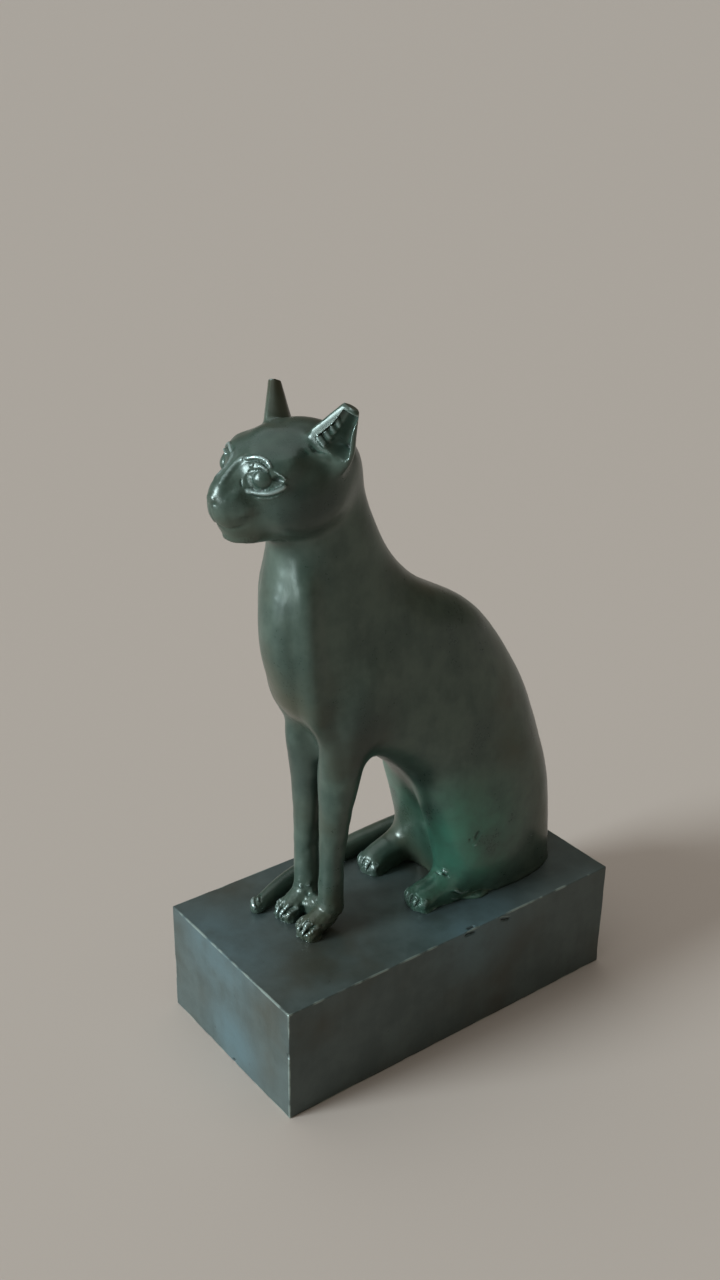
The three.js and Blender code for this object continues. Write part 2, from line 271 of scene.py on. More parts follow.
def tube(
    name: str, balls: tuple[tuple[float, ...], ...], sides: int = 32, step: float = 0.8
) -> bpy.types.Object:
    """A round limb through balls given as (x, y, z, radius), rounded at both ends.

    Args:
        name: the object's name.
        balls: the limb's balls from one end to the other.
        sides: how many sides its section has.
        step: the distance between its rings.

    Returns:
        The new object.
    """
    path = evenly(np.array(balls, float), step, 4)
    ahead = np.gradient(path[:, :3], axis=0)
    ahead /= np.linalg.norm(ahead, axis=1, keepdims=True)
    bend = np.linspace(0, math.pi / 2, 6)[1:-1]

    def cap(end: np.ndarray, out: np.ndarray, along: np.ndarray) -> list[tuple]:
        """The rings of one round end, from its pole to the limb."""
        return [(end[:3] + out * end[3] * math.cos(a), end[3] * math.sin(a), along) for a in bend]

    head = cap(path[0], -ahead[0], ahead[0])
    tail = cap(path[-1], ahead[-1], ahead[-1])[::-1]
    stops = head + [(p[:3], p[3], d) for p, d in zip(path, ahead)] + tail
    aside = unit(np.cross(ahead[0], (0.31, 0.17, 0.93)))
    rings = []
    for centre, radius, direction in stops:
        aside = unit(aside - direction * float(aside @ direction))
        above = np.cross(direction, aside)
        turn = np.linspace(0, 2 * math.pi, sides, endpoint=False)[:, None]
        rings.append(centre + radius * (np.cos(turn) * aside + np.sin(turn) * above))
    return lofted(name, np.array(rings))


def ball(name: str, centre: Point, half: Point) -> bpy.types.Object:
    """An ellipsoid.

    Args:
        name: the object's name.
        centre: its middle.
        half: its half sizes.

    Returns:
        The new object.
    """
    bpy.ops.object.select_all(action="DESELECT")
    bpy.ops.mesh.primitive_uv_sphere_add(
        segments=40, ring_count=24, radius=1, location=Vector(centre) * MM, scale=Vector(half) * MM
    )
    piece = bpy.context.object
    piece.name = name
    bpy.ops.object.transform_apply(location=True, rotation=True, scale=True)
    return piece


def refine(
    piece: bpy.types.Object, zones: tuple[Zone, ...], sides: tuple[int, ...] = BOTH_SIDES
) -> None:
    """Divides the faces that lie in boxes.

    Args:
        piece: the object to refine.
        zones: each box's middle and half sizes.
        sides: 1 for the boxes as given, -1 for their mirror images.
    """
    centres = np.array([p.center for p in piece.data.polygons]) / MM
    inside = np.zeros(len(centres), bool)
    for middle, half in zones:
        for side in sides:
            offset = np.abs(centres - np.array(middle) * (side, 1, 1)) / np.array(half)
            inside |= offset.max(axis=1) < 1
    select_only(piece)
    piece.data.polygons.foreach_set("select", inside)
    bpy.ops.object.mode_set(mode="EDIT")
    bpy.ops.mesh.select_mode(type="FACE")
    bpy.ops.mesh.subdivide(number_cuts=1)
    bpy.ops.mesh.select_all(action="DESELECT")
    bpy.ops.object.mode_set(mode="OBJECT")


def whole(path: tuple[Point, ...]) -> tuple[Point, ...]:
    """A path that starts on the middle line, run on to the other side as its mirror image."""
    return tuple((-x, y, z) for x, y, z in path[:0:-1]) + path


class Section(Enum):
    """The cross-section that a stroke leaves in the surface."""

    SOFT = "soft"
    ROUND = "round"
    SHARP = "sharp"

    def rise(self, away: np.ndarray) -> np.ndarray:
        """The share of a stroke's height at some distance from its line.

        Args:
            away: distances, 0 at the line and 1 at the stroke's edge.

        Returns:
            Shares from 0 to 1.
        """
        if self is Section.ROUND:
            return np.sqrt(np.clip(1 - away**2, 0, 1))
        if self is Section.SHARP:
            return 1 - away
        return 0.5 + 0.5 * np.cos(math.pi * away)


@dataclass(frozen=True)
class Stroke:
    """A line raised from the surface, or pressed into it where its height is negative.

    A width is from the line to the stroke's edge. With fade, the ends run out over that share of the length.
    Wear and highlight is how pale the stroke is painted, from 0 to 1: paint rubbed from it, and on lit crests
    a painted highlight.
    """

    path: tuple[Point, ...]
    width: float
    height: float
    section: Section = Section.SOFT
    both: bool = True
    fade: float = 0.0
    wear_and_highlight: float = 0.0


@dataclass(frozen=True)
class Patch:
    """A flat working place against the surface: a middle, and the direction that faces out of it."""

    middle: Point
    out: Point

    def axes(self) -> tuple[np.ndarray, np.ndarray, np.ndarray]:
        """The patch's own directions.

        Returns:
            Unit vectors across, up and out of it.
        """
        out = unit(self.out)
        across = unit(np.cross((0, 0, 1), out))
        return across, np.cross(out, across), out

    def point(self, spot: Spot) -> Point:
        """The point in the part's frame at a place across and up the patch."""
        across, up, _ = self.axes()
        return tuple(np.array(self.middle) + spot[0] * across + spot[1] * up)

    def path(self, *spots: Spot) -> tuple[Point, ...]:
        """The points in the part's frame at several places on the patch."""
        return tuple(self.point(spot) for spot in spots)


@dataclass(frozen=True)
class Dome:
    """An oval swelling on a patch, or a hollow where its height is negative."""

    patch: Patch
    middle: Spot
    half: Spot
    height: float
    power: float = 0.5
    both: bool = True
    reach: float = 3.0


class Clay:
    """The surface of a piece as arrays in millimetres, evened out, pressed and written back."""

    def __init__(self, piece: bpy.types.Object) -> None:
        """Reads a piece's mesh.

        Args:
            piece: the object whose surface is worked on.
        """
        self.piece = piece
        mesh = piece.data
        flat = np.empty(len(mesh.vertices) * 3, np.float32)
        mesh.vertices.foreach_get("co", flat)
        self.points = flat.reshape(-1, 3).astype(float) / MM
        ends = np.empty(len(mesh.edges) * 2, np.int32)
        mesh.edges.foreach_get("vertices", ends)
        self.ends = ends.reshape(-1, 2)
        self.degree = np.maximum(np.bincount(ends, minlength=len(self.points)), 1)
        self.raised = np.zeros(len(self.points))
        self.sunk = np.zeros(len(self.points))
        self.worn_and_highlit = np.zeros(len(self.points))
        self.hold()

    def hold(self) -> None:
        """Takes the present surface as the one that strokes are laid on."""
        self.write()
        mesh = self.piece.data
        flat = np.empty(len(mesh.vertices) * 3, np.float32)
        mesh.vertex_normals.foreach_get("vector", flat)
        self.out = flat.reshape(-1, 3).astype(float)
        for _ in range(3):
            self.out = self.average(self.out)
        self.out /= np.maximum(np.linalg.norm(self.out, axis=1, keepdims=True), 1e-9)
        self.tree = BVHTree.FromPolygons(self.points.tolist(), [tuple(p.vertices) for p in mesh.polygons])

    def average(self, values: np.ndarray) -> np.ndarray:
        """The mean of each vertex's neighbours.

        Args:
            values: one number or row for each vertex.

        Returns:
            The means, in the same layout.
        """
        a, b = self.ends.T
        count = len(self.points)
        columns = [
            np.bincount(a, weights=column[b], minlength=count)
            + np.bincount(b, weights=column[a], minlength=count)
            for column in values.reshape(count, -1).T
        ]
        return (np.array(columns).T / self.degree[:, None]).reshape(values.shape)

    def even_out(self, weight: np.ndarray, rounds: int) -> None:
        """Smooths the surface and gives back the bulk that smoothing takes.

        Args:
            weight: how much each vertex is smoothed, from 0 to 1.
            rounds: how often.
        """
        share = 0.5 * weight[:, None]

        def smoothed(values: np.ndarray) -> np.ndarray:
            """The values after this many rounds."""
            for _ in range(rounds):
                values = values + share * (self.average(values) - values)
            return values

        once = smoothed(self.points)
        self.points = once + smoothed(self.points - once)

    def on_surface(self, path: tuple[Point, ...], step: float = 0.25) -> tuple[np.ndarray, np.ndarray]:
        """A smooth run of surface points near a path.

        Args:
            path: the path's points.
            step: about how far apart the surface points are.

        Returns:
            The points, and the surface's direction at each.
        """
        table = evenly(np.array(path, float), step, 2)
        found = [self.tree.find_nearest(Vector(p)) for p in table]
        return np.array([f[0] for f in found]), np.array([f[1] for f in found])

    def press(self, stroke: Stroke) -> None:
        """Adds a stroke to what will be raised or sunk.

        Args:
            stroke: the stroke to add.
        """
        for side in BOTH_SIDES if stroke.both else (1,):
            line, facing = self.on_surface(tuple((side * x, y, z) for x, y, z in stroke.path))
            low, high = line.min(axis=0) - stroke.width, line.max(axis=0) + stroke.width
            near = np.nonzero(np.all((self.points > low) & (self.points < high), axis=1))[0]
            away = np.full(len(near), np.inf)
            share = np.zeros(len(near))
            agree = np.zeros(len(near))
            for n, (p, direction) in enumerate(zip(line, facing)):
                distance = np.linalg.norm(self.points[near] - p, axis=1)
                closer = distance < away
                away[closer] = distance[closer]
                share[closer] = n / max(1, len(line) - 1)
                agree[closer] = self.out[near[closer]] @ direction
            rise = stroke.section.rise(np.clip(away / stroke.width, 0, 1)) * ease(agree, 0, 0.3)
            if stroke.fade:
                rise *= ease(share, 0, stroke.fade) * ease(1 - share, 0, stroke.fade)
            rise = np.where(away < stroke.width, rise, 0)
            # The stroke's pale paint: wear, and on lit crests a painted highlight.
            self.worn_and_highlit[near] = np.maximum(self.worn_and_highlit[near], rise * stroke.wear_and_highlight)
            self.lay(near, rise * stroke.height)

    def scar(self, marks: tuple[Mark, ...]) -> None:
        """Adds marks of one side only, which run out at their ends."""
        for path, width, height, wear_and_highlight in marks:
            self.press(Stroke(path, width, height, both=False, fade=0.3, wear_and_highlight=wear_and_highlight))

    def swell(self, dome: Dome) -> None:
        """Adds a dome to what will be raised or sunk.

        Args:
            dome: the dome to add.
        """
        across, up, out = dome.patch.axes()
        middle = np.array(dome.patch.point(dome.middle))
        for side in BOTH_SIDES if dome.both else (1,):
            mirror = np.array([side, 1, 1])
            offset = self.points - middle * mirror
            u, v, w = (offset @ (axis * mirror) for axis in (across, up, out))
            inside = 1 - (u / dome.half[0]) ** 2 - (v / dome.half[1]) ** 2
            near = np.nonzero((inside > 0) & (np.abs(w) < dome.reach) & (self.out @ (out * mirror) > 0.1))[0]
            self.lay(near, inside[near] ** dome.power * dome.height)

    def lay(self, near: np.ndarray, height: np.ndarray) -> None:
        """Keeps the highest rise and the deepest hollow at each of the near vertices."""
        self.raised[near] = np.maximum(self.raised[near], height)
        self.sunk[near] = np.minimum(self.sunk[near], height)

    def settle(self) -> None:
        """Moves the vertices by what the strokes have raised and sunk."""
        self.points = self.points + (self.raised + self.sunk)[:, None] * self.out
        self.raised[:] = 0
        self.sunk[:] = 0

    def bend(self, rounds: int) -> np.ndarray:
        """How sharply the surface bends at each vertex, in 1/mm: above 0 on ridges, below 0 in hollows.

        Args:
            rounds: how many rounds of neighbours are looked at; more rounds miss the finest bends.

        Returns:
            One number for each vertex.
        """
        mean = self.points
        for _ in range(rounds):
            mean = self.average(mean)
        a, b = self.ends.T
        length = np.linalg.norm(self.points[a] - self.points[b], axis=1)
        count = len(self.points)
        span = sum(np.bincount(end, weights=length, minlength=count) for end in (a, b))
        span = self.average(self.average(span / self.degree))
        stand = np.einsum("ij,ij->i", self.points - mean, self.out)
        return 2 * stand / (rounds * span**2)

    def note_wear_and_highlights(self, rounds: int) -> None:
        """Stores where the surface has ridges that wear, with strokes painted pale as wear and painted
        highlight, and hollows that hold grime, each from 0 to 1.

        Args:
            rounds: how many rounds of neighbours the bends are read from.
        """
        bend = self.bend(rounds)
        self.note("edge", np.maximum(ease(bend, *RIDGE_BEND), self.worn_and_highlit))
        self.note("hollow", ease(-bend, *HOLLOW_BEND))

    def write(self) -> None:
        """Writes the points back to the mesh."""
        self.piece.data.vertices.foreach_set("co", (self.points * MM).astype(np.float32).ravel())
        self.piece.data.update()

    def note(self, name: str, values: np.ndarray) -> None:
        """Stores a number for each vertex, for the finishes to read."""
        attribute = self.piece.data.attributes.new(name, "FLOAT", "POINT")
        attribute.data.foreach_set("value", values.astype(np.float32))


class Wire:
    """A shader value that takes part in Python arithmetic by adding Math nodes."""

    def __init__(self, shader: "Shader", socket: bpy.types.NodeSocket) -> None:
        """Wraps a socket of a shader."""
        self.shader, self.socket = shader, socket

    def _math(self, operation: str, *values: object) -> "Wire":
        """A Math node on these values."""
        inputs = dict(enumerate(values))
        return self.shader.node("ShaderNodeMath", {"operation": operation}, inputs)

    def __add__(self, other: object) -> "Wire":
        """Sum."""
        return self._math("ADD", self, other)

    __radd__ = __add__

    def __mul__(self, other: object) -> "Wire":
        """Product."""
        return self._math("MULTIPLY", self, other)

    __rmul__ = __mul__

    def __sub__(self, other: object) -> "Wire":
        """Difference."""
        return self._math("SUBTRACT", self, other)

    def __rsub__(self, other: object) -> "Wire":
        """Difference, the other way round."""
        return self._math("SUBTRACT", other, self)

    def __pow__(self, other: object) -> "Wire":
        """Power."""
        return self._math("POWER", self, other)


class Shader:
    """A material under construction, with its output and its main surface shader."""

    def __init__(self, name: str) -> None:
        """Starts an empty material.

        Args:
            name: the material's name.
        """
        self.material = bpy.data.materials.new(name)
        self.material.use_nodes = True
        self.tree = self.material.node_tree
        self.tree.nodes.clear()
        self.place = self.node("ShaderNodeTexCoord", output="Object")

    def node(
        self, kind: str, settings: dict | None = None, inputs: dict | None = None, output: int | str = 0
    ) -> Wire:
        """Adds a node.

        Args:
            kind: the node's type.
            settings: its properties, set first; a list under "stops" fills a ramp.
            inputs: values or wires by socket name or number.
            output: the socket to hand on.

        Returns:
            The wire from that output.
        """
        made = self.tree.nodes.new(kind)
        for name, value in (settings or {}).items():
            if name == "stops":
                self._stops(made.color_ramp, value)
            else:
                setattr(made, name, value)
        for name, value in (inputs or {}).items():
            if isinstance(value, Wire):
                self.tree.links.new(value.socket, made.inputs[name])
            else:
                made.inputs[name].default_value = value
        return Wire(self, made.outputs[output])

    @staticmethod
    def _stops(ramp: bpy.types.ColorRamp, stops: list[tuple[float, float]]) -> None:
        """Sets a ramp's stops to grey levels at positions."""
        while len(ramp.elements) < len(stops):
            ramp.elements.new(1)
        for element, (position, level) in zip(ramp.elements, stops):
            element.position = position
            element.color = (level, level, level, 1)

    def noise(self, size: float, detail: float = 3, roughness: float = 0.55, seed: float = 0) -> Wire:
        """Noise from 0 to 1.

        Args:
            size: about how many millimetres across its lumps are.
            detail: how many finer layers it has.
            roughness: how strong the finer layers are.
            seed: a number that picks the pattern.

        Returns:
            The noise's value.
        """
        inputs = {
            "Vector": self.place,
            "W": seed,
            "Scale": 1 / (size * MM),
            "Detail": detail,
            "Roughness": roughness,
        }
        return self.node("ShaderNodeTexNoise", SEEDED, inputs)

    def stretched_noise(self, sizes: Point, turn: Point, detail: float, seed: float) -> Wire:
        """Noise drawn out along an axis.

        Args:
            sizes: how many millimetres its lumps measure along X, Y and Z.
            turn: degrees that the place is turned by first.
            detail: how many finer layers it has.
            seed: a number that picks the pattern.

        Returns:
            The noise's value.
        """
        turned = [math.radians(a) for a in turn]
        scale = [1 / (s * MM) for s in sizes]
        along = self.node("ShaderNodeMapping", {}, {"Vector": self.place, "Rotation": turned, "Scale": scale})
        inputs = {"Vector": along, "W": seed, "Scale": 1, "Detail": detail}
        return self.node("ShaderNodeTexNoise", SEEDED, inputs)

    def step(self, value: Wire, low: float, high: float) -> Wire:
        """A smooth step of a value from 0 at low to 1 at high."""
        inputs = {"Value": value, "From Min": low, "From Max": high}
        return self.node("ShaderNodeMapRange", {"interpolation_type": "SMOOTHSTEP"}, inputs)

    def near(self, middle: Point, radius: float, soft: float) -> Wire:
        """A round area about a point of the part.

        Args:
            middle: the point, in millimetres.
            radius: where the area ends.
            soft: over what distance it fades.

        Returns:
            1 in the area and 0 outside it.
        """
        inputs = {0: self.place, 1: [c * MM for c in middle]}
        away = self.node("ShaderNodeVectorMath", {"operation": "DISTANCE"}, inputs, output="Value")
        return self.step(away, radius * MM, (radius - soft) * MM)

    def noted(self, name: str) -> Wire:
        """A number stored on the mesh."""
        return self.node("ShaderNodeAttribute", {"attribute_name": name}, output="Fac")

    def blend(self, share: Wire | float, low: object, high: object) -> Wire:
        """A colour between low and high."""
        return self.node("ShaderNodeMix", {"data_type": "RGBA"}, {0: share, 6: low, 7: high}, output=2)

    def end(self, shader: Wire) -> bpy.types.Material:
        """Connects the finished surface shader.

        Args:
            shader: the surface shader's output.

        Returns:
            The material.
        """
        output = self.tree.nodes.new("ShaderNodeOutputMaterial")
        self.tree.links.new(shader.socket, output.inputs["Surface"])
        return self.material


def tint(red: float, green: float, blue: float) -> tuple[float, float, float, float]:
    """A colour written as 0 to 255 on screen, as the shader's own linear value."""
    return tuple(((c / 255 + 0.055) / 1.055) ** 2.4 for c in (red, green, blue)) + (1.0,)


@dataclass(frozen=True)
class Patina:
    """A painted bronze-green finish: a dark ground, verdigris and painted reflection in patches, grime in the
    hollows, painted shade in patches, and a pale colour for wear and painted highlights.
    """

    name: str
    ground: tuple
    mottle: tuple
    brown: tuple
    verdigris_and_reflection: tuple
    grime_and_shade: tuple
    # Pale colour of worn paint, also laid as a painted highlight on raised lines and edges.
    wear_and_highlight: tuple
    # Patches of the verdigris colour, each a middle, a radius and a fade; on the plinth's top they are a
    # painted reflection.
    verdigris_and_reflection_at: tuple[tuple[Point, float, float], ...] = ()
    # Patches blended half way to the grime colour as painted shade, each a middle, a radius and a fade.
    painted_shade_at: tuple[tuple[Point, float, float], ...] = ()
    gloss: float = 0.4
    metal: float = 0.2
    pit_spacing: float = 5
    relief: float = 0.12

    def make(self) -> bpy.types.Material:
        """Builds the material.

        Returns:
            The finished material.
        """
        s = Shader(self.name)
        edge, hollow = s.noted("edge"), s.noted("hollow")
        broad = s.noise(26, detail=3, seed=1.3)
        cloud = s.noise(9, detail=4, roughness=0.6, seed=4.1)
        brushed = s.stretched_noise((2.2, 2.2, 14), (0, 0, 0), 4, 7.7)
        fine = s.noise(0.7, detail=3, seed=2.2)
        colour = s.blend(s.step(cloud * 0.8 + brushed * 0.2, 0.36, 0.66), self.ground, self.mottle)
        colour = s.blend(s.step(broad, 0.46, 0.72) * 0.75, colour, self.brown)
        # Patches of the verdigris colour: verdigris on the cat, and on the plinth's top a painted reflection.
        for middle, radius, soft in self.verdigris_and_reflection_at:
            patch = s.near(middle, radius, soft) * s.step(cloud * 0.5 + broad * 0.5, 0.3, 0.62)
            colour = s.blend(patch * 0.9, colour, self.verdigris_and_reflection)
        # Painted shade: patches blended half way to the grime colour.
        for middle, radius, soft in self.painted_shade_at:
            colour = s.blend(s.near(middle, radius, soft) * 0.5, colour, self.grime_and_shade)
        colour = s.blend(s.step(hollow, 0.15, 1) * s.step(fine, 0.25, 0.6) * 0.45, colour, self.verdigris_and_reflection)
        colour = s.blend(s.step(hollow, 0.25, 1.1) * 0.85, colour, self.grime_and_shade)
        # Pale where the edge attribute is high: worn paint on ridges, and a painted highlight on raised lines
        # of the face, ears, toes, tail and flash.
        worn_and_highlit = s.step(edge + fine * 0.5 - 0.25, 0.3, 0.95)
        colour = s.blend(worn_and_highlit * 0.75, colour, self.wear_and_highlight)
        spacing = {"Vector": s.place, "Scale": 1 / (self.pit_spacing * MM)}
        pits = s.node("ShaderNodeTexVoronoi", {"feature": "F1"}, spacing, output="Distance")
        pocks = s.step(pits, 0.09, 0.03) * s.step(s.noise(6, seed=9.4), 0.5, 0.6)
        colour = s.blend(pocks * 0.35, colour, self.grime_and_shade)
        grain = s.noise(0.28, detail=2, seed=3.3)
        skin = s.noise(1.6, detail=4, roughness=0.6, seed=6.6)
        height = skin * 0.6 + grain * 0.12 + brushed * 0.25 - pocks * 0.8
        relief = {"Strength": 0.35, "Distance": self.relief * MM, "Height": height}
        roughness = self.gloss + (cloud - 0.5) * 0.22 + (fine - 0.5) * 0.12
        roughness = roughness - worn_and_highlit * 0.1 + s.step(hollow, 0.2, 1) * 0.12
        inputs = {
            "Base Color": colour,
            "Roughness": roughness,
            "Metallic": worn_and_highlit * 0.25 + self.metal,
            "Normal": s.node("ShaderNodeBump", {}, relief),
            "Specular IOR Level": 0.5,
        }
        return s.end(s.node("ShaderNodeBsdfPrincipled", {}, inputs))


@dataclass(frozen=True)
class FloorPaint:
    """The plain pale floor."""

    colour: tuple = tint(196, 184, 174)
    roughness: float = 0.75

    def make(self) -> bpy.types.Material:
        """Builds the material.

        Returns:
            The finished material.
        """
        s = Shader("floor_paint")
        inputs = {"Base Color": self.colour, "Roughness": self.roughness}
        return s.end(s.node("ShaderNodeBsdfPrincipled", {}, inputs))


def dress(piece: bpy.types.Object, material: bpy.types.Material, smooth_angle: float) -> None:
    """Gives a piece its only material and smooth shading.

    Args:
        piece: the object to dress.
        material: its material.
        smooth_angle: the sharpest edge, in degrees, that is shaded smooth.
    """
    piece.data.materials.clear()
    piece.data.materials.append(material)
    select_only(piece)
    bpy.ops.object.shade_smooth_by_angle(angle=math.radians(smooth_angle))


@dataclass(frozen=True)
class Ear:
    """A scooped horn with a D-shaped section.

    The shape's rows are the place along it, its half width and its depth behind. The shape that scoops it
    starts and ends at shares of its length, opens over a share of it, is shallower by slant towards the
    inner rim, and is lifted out at its start.
    """

    tip: Point = (13.9, -25.7, 161.5)
    up: Point = (0.296, 0.35, 0.889)
    out: Point = (0.62, -0.77, 0.15)
    length: float = 16
    shape: tuple[Point, ...] = ((0, 3.6, 6), (0.25, 5.2, 6.4), (0.45, 5.2, 5.6), (0.7, 3.7, 4), (1, 1.8, 2))
    front: float = 0.8
    rim: float = 0.8
    inner_rim: float = 1.9
    scoop_from: float = 0.28
    scoop_to: float = 0.945
    opens_over: float = 0.24
    scoop_depth: float = 0.9
    slant: float = 0.68
    least_depth: float = 0.08
    scoop_past: float = 3
    lift: float = 2
    sides: int = 56
    rings: int = 44

    def surface(self, t: np.ndarray, turn: np.ndarray, side: int, scooped: bool) -> np.ndarray:
        """Points on the horn or in its scoop.

        Args:
            t: places along the ear, 0 at the root and 1 at the tip.
            turn: angles round it, 0 on the side away from the head's middle, a quarter turn out of the
                opening.
            side: 1 for the left ear and -1 for the right.
            scooped: whether the points are on the scoop.

        Returns:
            An array of places by angles by three.
        """
        up = unit(self.up)
        out = unit(np.array(self.out) - up * float(np.dot(self.out, up)))
        across = np.cross(up, out)
        sizes = flowing(np.array(self.shape), t)
        thinner = (self.rim + self.inner_rim) / 2 if scooped else 0
        aside = (self.inner_rim - self.rim) / 2 if scooped else 0
        wide = sizes[:, :1] - thinner * ease(sizes[:, :1], 1, 4) if scooped else sizes[:, :1]
        behind = sizes[:, 1:] * (self.scoop_depth if scooped else 1)
        ahead = self.scoop_past if scooped else self.front
        sine = np.sin(turn)[None]
        if scooped:
            opened = ease(t, self.scoop_from, self.scoop_from + self.opens_over)[:, None]
            shallower = 1 - self.slant + self.slant * np.cos(turn)[None]
            behind = behind * opened * np.maximum(shallower, self.least_depth)
        depth = np.where(sine > 0, ahead * sine, behind * sine)
        if scooped:
            depth = depth + self.lift * (1 - opened)
        centre = np.array(self.tip) + (t[:, None] - 1) * self.length * up + aside * across
        points = centre[:, None] + (np.cos(turn)[None] * wide)[..., None] * across + depth[..., None] * out
        return points * np.array([side, 1, 1])

    def solid(self, side: int, scooped: bool) -> bpy.types.Object:
        """The horn of one ear, or the shape that is cut from it.

        Args:
            side: 1 for the left ear and -1 for the right.
            scooped: whether it is the shape to cut.

        Returns:
            The new object.
        """
        start, stop = (self.scoop_from, self.scoop_to) if scooped else (0.0, 1.0)
        t = np.linspace(start, stop, self.rings)
        turn = np.linspace(0, 2 * math.pi, self.sides, endpoint=False)
        return lofted("ear_scoop" if scooped else "ear", self.surface(t, turn, side, scooped))

    def rib(self, t: float) -> tuple[Point, ...]:
        """A line that crosses the left ear's inner rim and runs down into the scoop.

        Args:
            t: the place along the ear.

        Returns:
            The line's points.
        """
        spots = ((t + 0.06, 182), (t + 0.03, 205), (t, 228), (t - 0.03, 255))
        return tuple(
            tuple(self.surface(np.array([place]), np.array([math.radians(turn)]), 1, True)[0, 0])
            for place, turn in spots
        )

    def along(self, points: np.ndarray, side: int) -> np.ndarray:
        """The share of the ear's length at which each point lies, 0 at the root and 1 at the tip."""
        mirror = np.array([side, 1, 1])
        return 1 + (points - np.array(self.tip) * mirror) @ (unit(self.up) * mirror) / self.length


@dataclass(frozen=True)
class Paw:
    """A paw of four toes, measured from the cat's middle line.

    Spread is the toes' spacing, shift moves the paw to the right and long is how far the toes run back.
    Part is the depth of the clefts between the toes, and swell is the height of the knuckles.
    """

    middle: float
    tip: float
    spread: float
    shift: float
    long: float
    part: float
    swell: float


